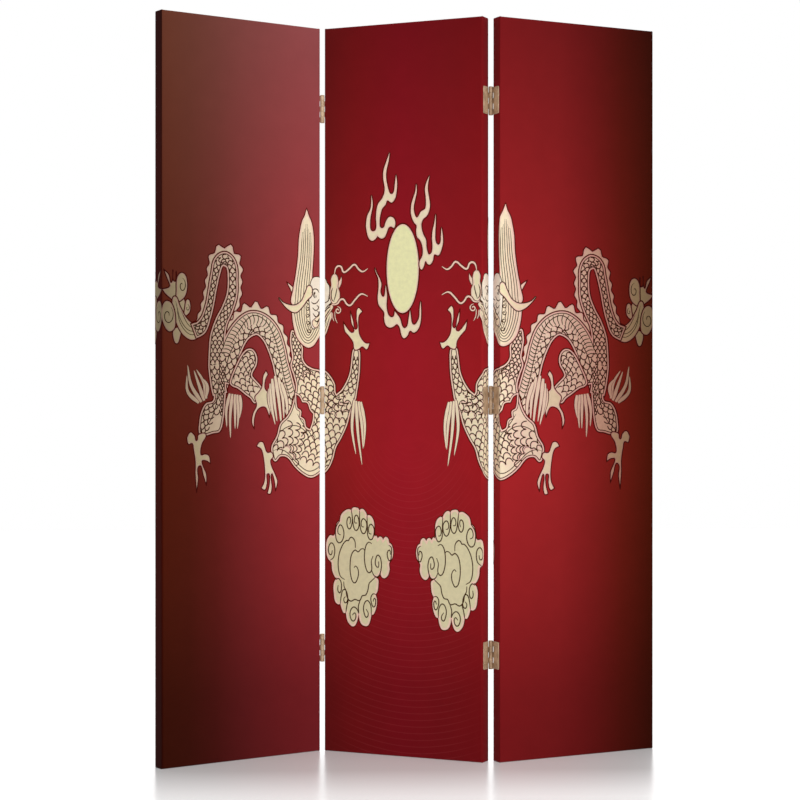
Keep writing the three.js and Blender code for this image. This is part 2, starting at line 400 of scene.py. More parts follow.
def meshOf(shape):
    mesh = bpy.data.meshes.new("mesh")
    shape.to_mesh(mesh)
    shape.free()
    return mesh


def bridge(shape, first, second):
    # faces between two rings of as many corners
    for i in range(len(first)):
        j = (i + 1) % len(first)
        shape.faces.new([first[i], first[j], second[j], second[i]])


# The timber keeps its solids and gets its grain
frameBars = {
    "upright": ["left_stile", "right_stile"],
    "level": ["bottom_rail", "top_rail", "cross_bar"],
}
for panel in panels:
    turn = math.radians(panelPlan["turns"][panel])
    levelWay = (math.cos(turn), math.sin(turn), 0.0)
    upWay = (0.0, 0.0, 1.0)
    ways = {"upright": (upWay, levelWay), "level": (levelWay, upWay)}
    for kind, labels in frameBars.items():
        pine = pineFinish(panel + kind.capitalize() + "Pine", *ways[kind])
        for label in labels:
            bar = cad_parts[panel + "_" + label]
            bar.material_slots[0].material = pine
print("timber finished")


# Canvas, wrapped round the frame, folded at its corners and stapled on the back
canvas = {
    "thickness": 0.6,
    "edgeRadius": 1.2,
    "returned": 20,  # how far it reaches onto the back
    "printedReturn": 5,  # how much of that is still printed
    "foldThickness": 0.5,
    "foldReach": 27,
    "foldInset": 0.5,
    "foldStart": 1.6,  # behind the front
    "foldSlant": 1.5,
    "foldTuck": 2.5,
    "slack": 0.7,  # how far the cloth sinks between the bars
    "barWidth": 35,
    "across": 20,  # grid steps
    "up": 15,
    "border": 52,  # room for an edge and a return round the face in the bake's layout
}
panelLow = canvas["foldThickness"]  # the folds under and over the frame make up the height
panelHigh = height - canvas["foldThickness"]
returnWidth = halfWidth - canvas["returned"]
printedWidth = halfWidth - canvas["printedReturn"]


def spaced(low, high, step, extra):
    # even places from low to high, with the extra ones among them
    count = round((high - low) / step)
    places = {round(low + (high - low) * i / count, 4) for i in range(count + 1)}
    near = 0.3 * step
    kept = [p for p in places if all(abs(p - e) > near for e in extra) or p in (low, high)]
    return sorted(set(kept) | {round(e, 4) for e in extra})


def sinking(x, z):
    # how far the cloth has sunk at a place between the bars
    reach = halfWidth - canvas["barWidth"]
    low, high = canvas["barWidth"], height / 2 - canvas["barWidth"] / 2
    rise = z if z < height / 2 else height - z
    if abs(x) >= reach or not low < rise < high:
        return 0.0
    share = math.cos(math.pi * x / (2 * reach)) * math.sin(math.pi * (rise - low) / (high - low))
    return canvas["slack"] * share


def canvasShell():
    # the front, the edges and the strips on the back, as a grid of squares
    ends = (-printedWidth, -returnWidth, returnWidth, printedWidth)
    xs = spaced(-halfWidth, halfWidth, canvas["across"], ends)
    turned = (canvas["printedReturn"], canvas["returned"])
    lows, highs = [panelLow + inset for inset in turned], [panelHigh - inset for inset in turned]
    zs = spaced(panelLow, panelHigh, canvas["up"], (*lows, *highs))
    ys = [-halfDepth, -5.0, 5.0, halfDepth]
    shape = bmesh.new()
    corners = {}

    def patch(rows, columns, place, isOpen=lambda row, column: False):
        for a0, a1 in zip(rows, rows[1:]):
            for b0, b1 in zip(columns, columns[1:]):
                if isOpen((a0 + a1) / 2, (b0 + b1) / 2):
                    continue
                ring = [place(a0, b0), place(a1, b0), place(a1, b1), place(a0, b1)]
                for corner in ring:
                    if corner not in corners:
                        corners[corner] = shape.verts.new(corner)
                shape.faces.new([corners[corner] for corner in ring])

    patch(xs, zs, lambda x, z: (x, -halfDepth, z))
    for x in (-halfWidth, halfWidth):
        patch(ys, zs, lambda y, z, x=x: (x, y, z))
    for z in (panelLow, panelHigh):
        patch(xs, ys, lambda x, y, z=z: (x, y, z))
    patch(
        xs, zs, lambda x, z: (x, halfDepth, z),
        lambda x, z: abs(x) < returnWidth and lows[1] < z < highs[1],
    )
    bmesh.ops.recalc_face_normals(shape, faces=shape.faces)
    return shape


def sidesOf(vertex):
    x, y, z = vertex.co
    near = 1e-3
    flags = set()
    if abs(abs(x) - halfWidth) < near:
        flags.add("x" + str(x > 0))
    if abs(abs(y) - halfDepth) < near:
        flags.add("y" + str(y > 0))
    if min(abs(z - panelLow), abs(z - panelHigh)) < near:
        flags.add("z" + str(z > height / 2))
    return flags


def unwrapCanvas(shape, number):
    # each corner's place on the whole print, and on the flat cloth for the bake
    printLayer = shape.loops.layers.uv.new(printMap)
    bakeLayer = shape.loops.layers.uv.new(bakeMap)
    skin = canvas["thickness"] / 2
    printed = canvas["printedReturn"]
    border = canvas["border"]
    for face in shape.faces:
        x, y, z = face.calc_center_median()
        isInner = abs(x) < halfWidth - skin and abs(y) < halfDepth - skin
        isInner = isInner and panelLow + skin < z < panelHigh - skin
        isReturn = y > halfDepth - skin and face.normal.y > 0.7
        isBare = isReturn and abs(x) < printedWidth and panelLow + printed < z < panelHigh - printed
        face.material_index = int(isInner or isBare)
        way = max((abs(face.normal.x), "x"), (abs(face.normal.y), "y"), (abs(face.normal.z), "z"))[1]
        for loop in face.loops:
            x, y, z = loop.vert.co
            isLeft, isLow = x < 0, z < height / 2
            behind = y + halfDepth
            across, up = x + halfWidth, z
            flatAcross, flatUp = across, up
            if way == "x":
                across = behind if isLeft else panelWidth - behind
                flatAcross = -behind if isLeft else panelWidth + behind
                if number == (0 if isLeft else len(panels) - 1):
                    across = -0.5 if isLeft else panelWidth + 0.5  # painted shade: the screen's two outer edges take the darkest ends of the red
            elif way == "z":
                up = behind if isLow else height - behind
                flatUp = -behind if isLow else height + behind
            if isReturn and abs(x) > returnWidth - 0.5:
                flatAcross = (-1 if isLeft else 1) * (panelWidth + panelDepth - abs(x)) + halfWidth
            elif isReturn:
                flatUp = -panelDepth - z if isLow else 2 * height + panelDepth - z
            loop[printLayer].uv = ((number * panelWidth + across) / printWidth, up / height)
            column = 0.5 if isInner else 0.0
            loop[bakeLayer].uv = (
                column + 0.01 + 0.48 * (flatAcross + border) / (panelWidth + 2 * border),
                0.01 + 0.98 * (flatUp + border) / (height + 2 * border),
            )


def canvasMesh(number):
    shape = canvasShell()
    edges = [e for e in shape.edges if len(sidesOf(e.verts[0]) & sidesOf(e.verts[1])) >= 2]
    bmesh.ops.bevel(
        shape, geom=edges, offset=canvas["edgeRadius"], offset_type="OFFSET", segments=4,
        profile=0.5, affect="EDGES", clamp_overlap=True,
    )
    bmesh.ops.recalc_face_normals(shape, faces=shape.faces)
    bmesh.ops.solidify(shape, geom=shape.faces[:], thickness=canvas["thickness"])
    bmesh.ops.recalc_face_normals(shape, faces=shape.faces)
    unwrapCanvas(shape, number)
    for vertex in shape.verts:
        if vertex.co.y < -5:  # the front's two skins
            vertex.co.y += sinking(vertex.co.x, vertex.co.z)
    return meshOf(shape)


def foldMesh(number):
    # one folded ear of cloth at each corner, over the top and under the bottom
    shape = bmesh.new()
    layer = shape.loops.layers.uv.new(printMap)
    start, end = canvas["foldStart"] - halfDepth, halfDepth - canvas["foldInset"]
    sunk = 0.05  # into the canvas below it
    for side in (-1, 1):
        out = side * (halfWidth - canvas["foldInset"])
        reach = side * (halfWidth - canvas["foldReach"])
        slant = side * canvas["foldSlant"]
        outline = [
            (out, start), (out, end), (reach, end), (reach + slant, end - canvas["foldTuck"]),
            (out - slant, start),
        ]
        for low, high in ((0.0, panelLow + sunk), (panelHigh - sunk, height)):
            rings = [[shape.verts.new((x, y, z)) for x, y in outline] for z in (low, high)]
            for ring in rings:
                shape.faces.new(ring)
            bridge(shape, *rings)
    bmesh.ops.recalc_face_normals(shape, faces=shape.faces)
    for face in shape.faces:
        for loop in face.loops:
            x, y, z = loop.vert.co
            behind = y + halfDepth
            up = behind if z < height / 2 else height - behind
            loop[layer].uv = ((number * panelWidth + x + halfWidth) / printWidth, up / height)
    return meshOf(shape)


turnedUnder = panelDepth + canvas["returned"]
cutWidth, cutHeight = [(size + 2 * turnedUnder) * millimetre for size in (panelWidth, height)]
cutArea = cutWidth * cutHeight - 4 * (turnedUnder * millimetre) ** 2  # less a square at each corner
for number, panel in enumerate(panels):
    mesh = canvasMesh(number)
    sheet = addPiece(panel + "_printed_canvas", mesh, panel, [cloth, bareCanvas], 40)
    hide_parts(panel + "_canvas")
    folds = addPiece(panel + "_canvas_folds", foldMesh(number), panel, [cloth], 30)
    bars = [panel + "_" + bar for bar in ("left_stile", "right_stile", "top_rail", "bottom_rail")]
print("canvases stretched")


# The printed figures: closed outlines on the print, in millimetres across (s) and up (z), laid one
# over another. Only the left half is drawn; the right half mirrors it. A tip stays sharp.
tip = True
figureLift = 0.1  # how far the figures stand before the cloth
tiny = 1e-6


def lengthsOf(steps):
    return np.hypot(*steps.T)


def smooth(points, closed=True, step=3.0):
    # a curve through the points
    places = [np.array(p[:2], dtype=float) for p in points]
    isTip = [len(p) > 2 for p in points]
    count = len(places)
    curve = []
    for i in range(count if closed else count - 1):
        j = (i + 1) % count
        before = places[i - 1] if closed or i else places[i]
        after = places[(i + 2) % count] if closed or i + 2 < count else places[j]
        chord = places[j] - places[i]
        reach = np.hypot(*chord)
        leave = (places[j] - before) / max(np.hypot(*(places[j] - before)), tiny) * reach
        arrive = (after - places[i]) / max(np.hypot(*(after - places[i])), tiny) * reach
        leave = chord * 0.6 if isTip[i] else leave
        arrive = chord * 0.6 if isTip[j] else arrive
        steps = max(1, round(reach / step))
        for k in range(steps):
            t = k / steps
            curve.append(
                places[i] * (2 * t ** 3 - 3 * t ** 2 + 1) + leave * (t ** 3 - 2 * t ** 2 + t)
                + places[j] * (3 * t ** 2 - 2 * t ** 3) + arrive * (t ** 3 - t ** 2)
            )
    if not closed:
        curve.append(places[-1])
    return np.array(curve)


def leftHanded(loop):
    # the loop, run counterclockwise
    ahead = np.roll(loop, -1, axis=0)
    area = np.sum(loop[:, 0] * ahead[:, 1] - ahead[:, 0] * loop[:, 1])
    return loop if area > 0 else loop[::-1]


def normalsOf(line, closed=False):
    # normals to the right of a line's way, as long as its corners need to keep a band's width
    if closed:
        back, ahead = line - np.roll(line, 1, axis=0), np.roll(line, -1, axis=0) - line
    else:
        steps = np.diff(line, axis=0)
        back, ahead = np.vstack([steps[:1], steps]), np.vstack([steps, steps[-1:]])
    back = back / np.maximum(lengthsOf(back), tiny)[:, None]
    ahead = ahead / np.maximum(lengthsOf(ahead), tiny)[:, None]
    way = back + ahead
    size = np.maximum(lengthsOf(way), 0.5)[:, None]
    stretch = np.minimum(2 / size, 1.7)
    return np.stack([way[:, 1], -way[:, 0]], axis=1) / size * stretch


def grow(loop, distance):
    return loop + normalsOf(loop, True) * distance


def between(line, half):
    # the outline of a band that reaches a half width to both sides of each point of a line
    reach = normalsOf(line) * half[:, None]
    return np.vstack([line + reach, (line - reach)[::-1]])


def ribbon(line, width, endShare):
    # a stroke of the brush: thinner at its ends
    share = np.minimum(np.linspace(0, 1, len(line)), np.linspace(1, 0, len(line))) * 6
    return between(line, width / 2 * (endShare + (1 - endShare) * np.minimum(share, 1)))


def leaf(line, width):
    # a strand of hair: full near its foot, pointed at its tip
    t = np.linspace(0, 1, len(line))
    return between(line, width / 2 * np.sqrt(1 - t) * np.minimum(1, 0.55 + 2.2 * t))


def spiral(middle, radius, turns, start, sense=1, stretch=1.0):
    # from the rim inwards; start in degrees
    count = max(8, int(turns * radius * 2.2))
    t = np.linspace(0, 1, count)
    angle = math.radians(start) + sense * t * turns * 2 * math.pi
    reach = radius * (1 - 0.82 * t)
    return np.stack([middle[0] + reach * np.cos(angle), middle[1] + reach * np.sin(angle) * stretch], axis=1)


class Drawing:
    def __init__(self):
        self.layers = []

    def lay(self, loop, ink, clip=None, solid=True):
        # a solid loop fills what it winds round counterclockwise; no ink leaves the cloth bare
        self.layers.append((loop, ink, clip, solid))

    def joined(self, loops, core, bands):
        # parts that grow into one another: edged as one, without a line between them
        # bands go from the outside in: (ink, how far out); the core is (ink, how far in)
        loops = [leftHanded(loop) for loop in loops]
        for ink, out in bands:
            for loop in loops:
                self.lay(grow(loop, out), ink)
        inner = [grow(loop, -core[1]) for loop in loops]
        for loop in inner:
            self.lay(loop, core[0])
        return inner

    def figure(self, points, core, bands):
        return self.joined([smooth(points)], core, bands)[0]

    def stroke(self, line, width, ink="line", clip=None, halo=0.0, endShare=0.35):
        if halo:
            self.lay(ribbon(line, width + 2 * halo, endShare), "shadow", clip, False)
        self.lay(ribbon(line, width, endShare), ink, clip, False)

    def strokes(self, lines, width, ink="line", clip=None, halo=0.0, endShare=0.35):
        for points in lines:
            self.stroke(smooth(points, False), width, ink, clip, halo, endShare)


# how each kind of figure is edged
hideBands = [("shadow", 2.6), ("rim", 0.0), ("line", -2.8)]
hideCore = ("hide", 4.6)
lobeBands = [("shadow", 1.4), ("rim", -1.0)]
pawBands = [("shadow", 1.0), ("rim", -1.2)]
pawCore = ("paw", 2.8)
flameBands = [("shadow", 2.8), ("rim", 0.0)]
flameCore = ("flame", 2.6)
hairBands = [("shadow", 2.4), ("rim", 0.0)]
hairCore = ("hide", 3.0)
cloudBands = [("shadow", 2.2), ("rim", 0.0)]
cloudCore = ("cloud", 4.2)
pearl = {
    "centre": (541, 997),
    "radii": (36.5, 90.7),
    "bands": [("shadow", 3.2), ("rim", 0.0), ("pearl", -2.6)],
}


def drawPearl(drawing):
    (s, z), (wide, tall) = pearl["centre"], pearl["radii"]
    turn = np.linspace(0, 2 * math.pi, 72, endpoint=False)
    for ink, out in pearl["bands"]:
        drawing.lay(np.stack([s + (wide + out) * np.cos(turn), z + (tall + out) * np.sin(turn)], axis=1), ink)
    upperLeft = [
        (469, 1150, tip), (472, 1130), (467, 1104), (466, 1087), (468, 1078), (473, 1075), (479, 1078),
        (481, 1087), (480, 1104), (482, 1123), (486, 1133), (494, 1142), (499, 1153), (500, 1164),
        (497, 1181), (497, 1198), (502, 1213), (511, 1235, tip), (509, 1220), (504, 1200), (503, 1185),
        (506, 1168), (511, 1153), (516, 1150), (521, 1155), (523, 1168), (526, 1189, tip), (528, 1173),
        (527, 1155), (523, 1140), (515, 1133), (506, 1138), (502, 1130), (494, 1121), (490, 1110),
        (488, 1095), (489, 1084), (494, 1081), (499, 1084), (502, 1093), (508, 1102), (513, 1104),
        (521, 1100), (524, 1091), (521, 1081), (515, 1084), (509, 1082), (504, 1071), (499, 1062),
        (492, 1060), (485, 1064), (483, 1066, tip), (480, 1061), (471, 1056), (463, 1062), (458, 1078),
        (457, 1091), (460, 1108), (467, 1121), (469, 1134),
    ]
    right = [
        (572, 1169, tip), (573, 1153), (569, 1136), (566, 1121), (568, 1108), (573, 1100), (578, 1104),
        (581, 1110), (586, 1114), (592, 1117), (594, 1125), (594, 1138), (592, 1157), (595, 1170),
        (602, 1184, tip), (599, 1170), (598, 1157), (601, 1140), (603, 1123), (600, 1110), (595, 1102),
        (588, 1097), (584, 1089), (584, 1078), (588, 1065), (594, 1054), (595, 1041), (597, 1031),
        (601, 1024), (607, 1028), (609, 1041), (608, 1056), (609, 1071), (613, 1087), (616, 1106, tip),
        (616, 1087), (615, 1067), (616, 1050), (622, 1043), (627, 1048), (628, 1061), (629, 1078, tip),
        (632, 1061), (632, 1046), (628, 1031), (622, 1022), (613, 1024), (610, 1013), (604, 1004),
        (598, 1005), (593, 1011), (590, 1003), (584, 994), (580, 1000), (580, 1011), (586, 1022),
        (587, 1035), (584, 1048), (580, 1055), (574, 1061), (572, 1074), (573, 1084), (569, 1088),
        (564, 1096), (560, 1110), (561, 1127), (565, 1140), (570, 1153),
    ]
    lower = [
        (477, 1001, tip), (481, 990), (488, 978), (492, 966), (490, 951), (494, 941), (498, 940),
        (501, 949), (502, 964, tip), (505, 942), (504, 923), (507, 906), (514, 898), (521, 900),
        (523, 910, tip), (529, 903), (535, 895), (540, 880), (545, 875), (552, 880), (555, 895),
        (558, 912, tip), (560, 897), (563, 884), (569, 882), (574, 887), (579, 897), (580, 914),
        (582, 930, tip), (583, 910), (582, 889), (577, 874), (567, 866), (558, 870), (552, 860),
        (544, 855), (538, 863), (535, 876), (528, 884), (522, 880), (512, 877), (503, 882), (499, 895),
        (499, 908), (492, 917), (486, 925), (484, 940), (486, 960), (485, 979), (480, 990),
    ]
    for points in (upperLeft, right, lower):
        drawing.figure(points, flameCore, flameBands)


def runsAlong(line):
    # how far along a line each of its points lies
    return np.concatenate([[0], np.cumsum(lengthsOf(np.diff(line, axis=0)))])


def nearest(line, place):
    return int(np.argmin(lengthsOf(line - place)))


def tubeLoop(centres, step=3.0):
    # the outline of a tube given as (s, z, half width), its middle line, and half widths and runs along it
    line = smooth([(s, z) for s, z, _ in centres], False, step)
    runs = runsAlong(line)
    marks = [runs[nearest(line, (s, z))] for s, z, _ in centres]
    half = np.interp(runs, marks, [w for _, _, w in centres])
    return between(line, half), line, half, runs


def scales(drawing, centres, clip, pitch, facing=1):
    # rows of small arcs across a tube
    _, line, half, runs = tubeLoop(centres, 1.5)
    normals = normalsOf(line)
    way = np.stack([normals[:, 1], -normals[:, 0]], axis=1)
    turn = np.linspace(0, math.pi, 7)
    for row, run in enumerate(np.arange(pitch / 2, runs[-1], pitch * 0.8)):
        i = int(np.argmin(abs(runs - run)))
        count = max(2, round(2 * half[i] / pitch))
        for k in range(count + row % 2):
            across = (k + 0.5 - (count + row % 2) / 2) * 2 * half[i] / count
            sideways = across + np.cos(turn) * half[i] / count
            along = facing * np.sin(turn) * pitch * 0.75
            arc = line[i] + normals[i] * sideways[:, None] + way[i] * along[:, None]
            drawing.stroke(arc - way[i] * facing * 2.0, 2.2, "rim", clip, endShare=1.0)
            drawing.stroke(arc, 2.2, "line", clip, endShare=1.0)


def crest(drawing, centres, pitch, rise, peak):
    # a scalloped crest along a tube's outer side, highest about one place
    _, line, half, _ = tubeLoop(centres, 2.0)
    out = -normalsOf(line)
    runs = runsAlong(line + out * (half + 6)[:, None])
    top = runs[nearest(line, peak)]
    swell = rise[0] + (rise[1] - rise[0]) * np.exp(-((runs - top) / 45) ** 2)
    bumps = np.abs(np.sin(math.pi * (runs - top) / pitch + math.pi / 4))
    ends = np.minimum(1, np.minimum(runs, runs[-1] - runs) / 30)
    edge = line + out * (half + (6 + swell * (0.35 * bumps + 0.65 * bumps ** 3)) * ends)[:, None]
    loop = np.vstack([edge, (line + out * (half - 5)[:, None])[::-1]])
    drawing.joined([loop], ("hide", 2.4), hairBands)


def hatch(drawing, centres, clip, pitch, span):
    # long narrow scales that stand side by side along a tube's outer half
    _, line, half, runs = tubeLoop(centres, 1.5)
    out = -normalsOf(line)
    along = np.stack([-out[:, 1], out[:, 0]], axis=1)
    inside = (runs > span[0]) & (runs < span[1])
    outer, inner = line + out * (half * 0.98)[:, None], line - out * (half * 0.1)[:, None]
    drawing.lay(np.vstack([outer[inside], inner[inside][::-1]]), "hide", clip, False)
    for run in np.arange(span[0], span[1], pitch):
        i = int(np.argmin(abs(runs - run)))
        lean = along[i] * pitch
        foot, end = line[i] + out[i] * half[i] * 0.8, line[i] - out[i] * half[i] * 0.12
        middle = (foot + end) / 2
        drawing.strokes([[foot + lean * 0.35, middle - lean * 0.1, end + lean * 0.2]], 2.0, clip=clip)
        drawing.strokes([[foot - lean * 0.1, middle - lean * 0.55, end - lean * 0.1]], 1.8, "rim", clip)


tailTube = [
    (70, 866, 15), (85, 873, 14), (97, 893, 10), (106, 922, 9), (111, 948, 9), (119, 985, 10),
    (126, 1006, 12), (140, 1012, 15), (154, 1000, 12), (157, 970, 11), (155, 940, 12), (144, 910, 13),
    (131, 885, 14), (123, 855, 17), (122, 825, 19), (122, 795, 20), (124, 760, 17), (128, 740, 16),
]
humpTube = [
    (138, 762, 18), (146, 805, 22), (158, 840, 23), (176, 868, 23), (200, 884, 25), (222, 882, 23),
    (243, 864, 22), (257, 835, 20), (266, 805, 18), (273, 780, 19), (282, 750, 19), (290, 722, 19),
    (302, 695, 18), (318, 665, 20), (330, 640, 22), (336, 610, 24),
]


def drawTail(drawing):
    for points in (
        [(40, 900), (24, 925), (8, 938), (0, 948, tip), (13, 951), (17, 955), (11, 970), (4, 987, tip),
         (15, 977), (21, 962), (24, 988, tip), (27, 964), (31, 985, tip), (34, 960), (44, 940), (52, 915)],
        [(34, 925), (31, 950), (33, 972), (42, 982), (52, 977), (56, 960), (54, 942), (47, 930)],
        [(50, 897), (50, 915), (54, 929), (60, 928), (63, 915), (60, 902)],
        [(25, 868), (25, 850), (32, 840), (39, 850), (40, 872)],
    ):
        drawing.figure(points, pawCore, lobeBands)
    root = [(28, 935), (40, 915), (52, 895), (66, 883), (80, 884), (88, 872), (86, 858), (68, 848), (52, 853),
            (38, 868), (28, 890), (22, 915)]
    core = drawing.figure(root, pawCore, lobeBands)
    curl = [(30, 880), (28, 905), (20, 922), (8, 925), (0, 912), (-1, 893), (5, 875), (15, 864), (26, 868)]
    drawing.figure(curl, pawCore, lobeBands)
    drawing.stroke(spiral((13, 896), 13, 1.2, 60, -1, 1.5), 1.8)
    drawing.stroke(spiral((44, 956), 9, 1.1, 90, -1, 1.7), 1.8)
    drawing.stroke(spiral((56, 912), 5, 1.0, 90, -1, 1.5), 1.4)
    drawing.strokes([
        [(30, 925), (40, 890), (58, 868), (84, 866)], [(33, 905), (42, 878), (60, 860), (82, 860)],
        [(36, 925), (45, 900), (62, 875), (84, 873)],
    ], 1.4, clip=core)
    crest(drawing, tailTube, 24, (4, 12), (140, 1012))


def drawBody(drawing):
    crest(drawing, humpTube, 24, (5, 14), (206, 884))
    thigh = smooth([
        (105, 800), (107, 780), (114, 760), (115, 740), (112, 727), (97, 722), (87, 707), (82, 685),
        (83, 660), (97, 658), (112, 662), (128, 666), (136, 692), (140, 730), (142, 770), (142, 800),
    ])
    loops = [tubeLoop(tailTube)[0], tubeLoop(humpTube)[0], thigh]
    cores = drawing.joined(loops, hideCore, hideBands)
    scales(drawing, tailTube, cores[0], 10)
    drawing.lay(cores[1], "hide")
    scales(drawing, humpTube, cores[1], 14)
    hatch(drawing, humpTube, cores[1], 7.5, (60, 330))
    drawing.lay(cores[2], "hide")
    shank = [(86, 664, 8), (94, 690, 12), (108, 708, 13), (116, 735, 10), (116, 765, 10), (116, 805, 12)]
    scales(drawing, shank, cores[2], 12)
    scales(drawing, [(134, 700, 5), (136, 740, 6), (138, 800, 6)], cores[2], 7)
    drawing.strokes([
        [(92, 672), (108, 690), (120, 722), (126, 770), (128, 830)],
        [(150, 836), (172, 870), (202, 900), (232, 890), (252, 858), (266, 815), (276, 772), (288, 736),
         (300, 705)],
        [(137, 776), (148, 816), (164, 848)],
    ], 1.9)


def drawChest(drawing):
    points = [
        (296, 872), (289, 853), (291, 835), (294, 815), (290, 800), (297, 780), (303, 757), (299, 735),
        (292, 712), (282, 695), (266, 680), (258, 655), (246, 634), (247, 617), (254, 603), (267, 613),
        (283, 610), (300, 591), (317, 577), (337, 568), (354, 573), (370, 587), (380, 607), (387, 630),
        (400, 651), (413, 677), (421, 703), (432, 733), (410, 745), (389, 740), (384, 762), (373, 779),
        (360, 790), (342, 794), (327, 802), (319, 815), (318, 840),
    ]
    arm = [
        (385, 735), (400, 750), (412, 768), (419, 785), (422, 803), (424, 820), (429, 835), (441, 833),
        (443, 800), (441, 775), (436, 745), (432, 728), (410, 700), (390, 700),
    ]
    cores = drawing.joined([smooth(arm), smooth(points)], hideCore, hideBands)
    forearm = [(408, 730, 18), (416, 750, 14), (426, 775, 11), (432, 800, 9), (434, 826, 6)]
    scales(drawing, forearm, cores[0], 12)
    core = cores[1]
    drawing.lay(core, "hide")
    for centres, pitch, facing in (
        ([(305, 870, 12), (305, 835, 12), (309, 805, 14), (322, 770, 22)], 9, 1),
        ([(335, 790, 12), (345, 765, 34), (362, 730, 44), (372, 700, 46), (372, 670, 40), (362, 640, 40),
          (350, 610, 38), (340, 585, 20)], 15, 1),
        ([(372, 720, 20), (396, 722, 24), (420, 734, 14)], 15, 1),
        ([(255, 618, 8), (270, 640, 22), (290, 645, 36), (315, 640, 44)], 15, -1),
    ):
        scales(drawing, centres, core, pitch, facing)
    drawing.strokes([
        [(300, 745), (320, 728), (336, 712), (342, 694), (340, 670), (350, 650)],
        [(306, 700), (318, 682), (336, 660), (348, 640)],
        [(250, 625), (262, 628), (280, 622), (302, 602), (330, 582), (352, 586), (368, 602)],
        [(262, 660), (280, 672), (300, 676), (320, 668), (334, 650)],
    ], 1.8, clip=core)
    window = leftHanded(smooth([
        (303, 740, tip), (311, 736), (318, 724, tip), (330, 722), (336, 708), (344, 700, tip), (342, 684),
        (336, 668, tip), (327, 673), (323, 688), (314, 694, tip), (315, 706), (306, 713),
    ]))
    drawing.lay(grow(window, 4.0), "line")
    drawing.lay(grow(window, 2.6), "rim")
    drawing.lay(window, "shadow")
    drawing.lay(grow(window, -2.4), None)
    drawing.figure([
        (246, 622), (236, 622), (231, 632), (226, 643), (217, 643), (211, 634, tip), (221, 629), (226, 616),
        (230, 585), (229, 563), (222, 549, tip), (231, 545), (236, 560), (238, 578), (241, 560),
        (236, 538, tip), (243, 536), (247, 549), (246, 577), (252, 564), (255, 542, tip), (260, 561),
        (255, 576), (247, 592), (244, 605), (250, 612),
    ], pawCore, pawBands)


def tuft(drawing, foot, tips, count, width, bend=0.16):
    # strands from a foot to tips that aren't level
    foot, tips = smooth(foot, False, 1.0), smooth(tips, False, 1.0)
    strands = []
    for k in range(count):
        share = (k + 0.5) / count
        start = foot[int(share * (len(foot) - 1))]
        finish = tips[int(share * (len(tips) - 1))]
        way = (finish - start) * (1 if k % 2 else 0.86)
        bow = np.array([-way[1], way[0]]) * bend * (share - 0.5)
        strands.append(smooth([start, start + way * 0.5 + bow, start + way], False))
    for line in strands:
        drawing.lay(leaf(line, width + 4.4), "shadow", None, False)
    for line in strands:
        for ink, wide in (("line", 2.2), ("rim", 0.2), ("hide", -2.6)):
            drawing.lay(leaf(line, width + wide), ink, None, False)


def drawHindLegs(drawing):
    drawing.figure([
        (97, 660), (88, 640), (86, 620), (95, 621), (104, 617), (107, 601, tip), (97, 607), (88, 606),
        (98, 580), (98, 557, tip), (91, 577), (82, 597), (80, 570), (76, 543, tip), (73, 580), (73, 605),
        (69, 630), (66, 642), (58, 640), (54, 653, tip), (62, 665), (72, 658), (76, 648), (80, 660),
    ], pawCore, pawBands)
    tuft(drawing, [(78, 722), (96, 730), (98, 742)], [(48, 782), (60, 800), (88, 776)], 5, 9, -0.5)
    tuft(drawing, [(148, 742), (176, 738)], [(138, 668), (156, 652), (174, 690)], 5, 8)
    core = drawing.figure([
        (150, 765), (165, 800), (178, 822), (190, 832), (203, 831), (212, 817), (211, 800), (203, 786),
        (201, 778), (210, 768), (220, 758), (228, 745), (215, 730), (207, 722), (197, 732), (185, 740),
        (168, 752), (155, 757),
    ], hideCore, hideBands)
    haunch = [(212, 740, 12), (195, 755, 16), (182, 778, 24), (184, 805, 26), (194, 826, 14)]
    scales(drawing, haunch, core, 13, -1)
    drawing.figure([
        (207, 735), (216, 745), (223, 755), (226, 778), (233, 789, tip), (238, 781, tip), (232, 770),
        (231, 752), (241, 742), (246, 725), (243, 708), (241, 692, tip), (236, 706), (230, 714),
        (218, 712), (210, 702), (206, 686), (206, 669, tip), (200, 684), (203, 702), (211, 718),
    ], pawCore, pawBands)
    tuft(drawing, [(239, 748), (254, 778), (272, 760)], [(246, 692), (266, 668), (286, 690)], 6, 9)


def drawArm(drawing):
    drawing.figure([
        (430, 832), (426, 848), (416, 861), (407, 871), (404, 891, tip), (413, 878), (424, 868), (429, 872),
        (422, 889), (420, 914, tip), (427, 894), (434, 875), (434, 898), (438, 919), (449, 911, tip),
        (441, 902), (440, 880), (443, 862), (455, 847), (466, 846, tip), (459, 832), (448, 838), (441, 833),
    ], pawCore, pawBands)
    tuft(drawing, [(427, 728), (448, 724)], [(426, 606), (446, 592), (452, 640)], 4, 8)


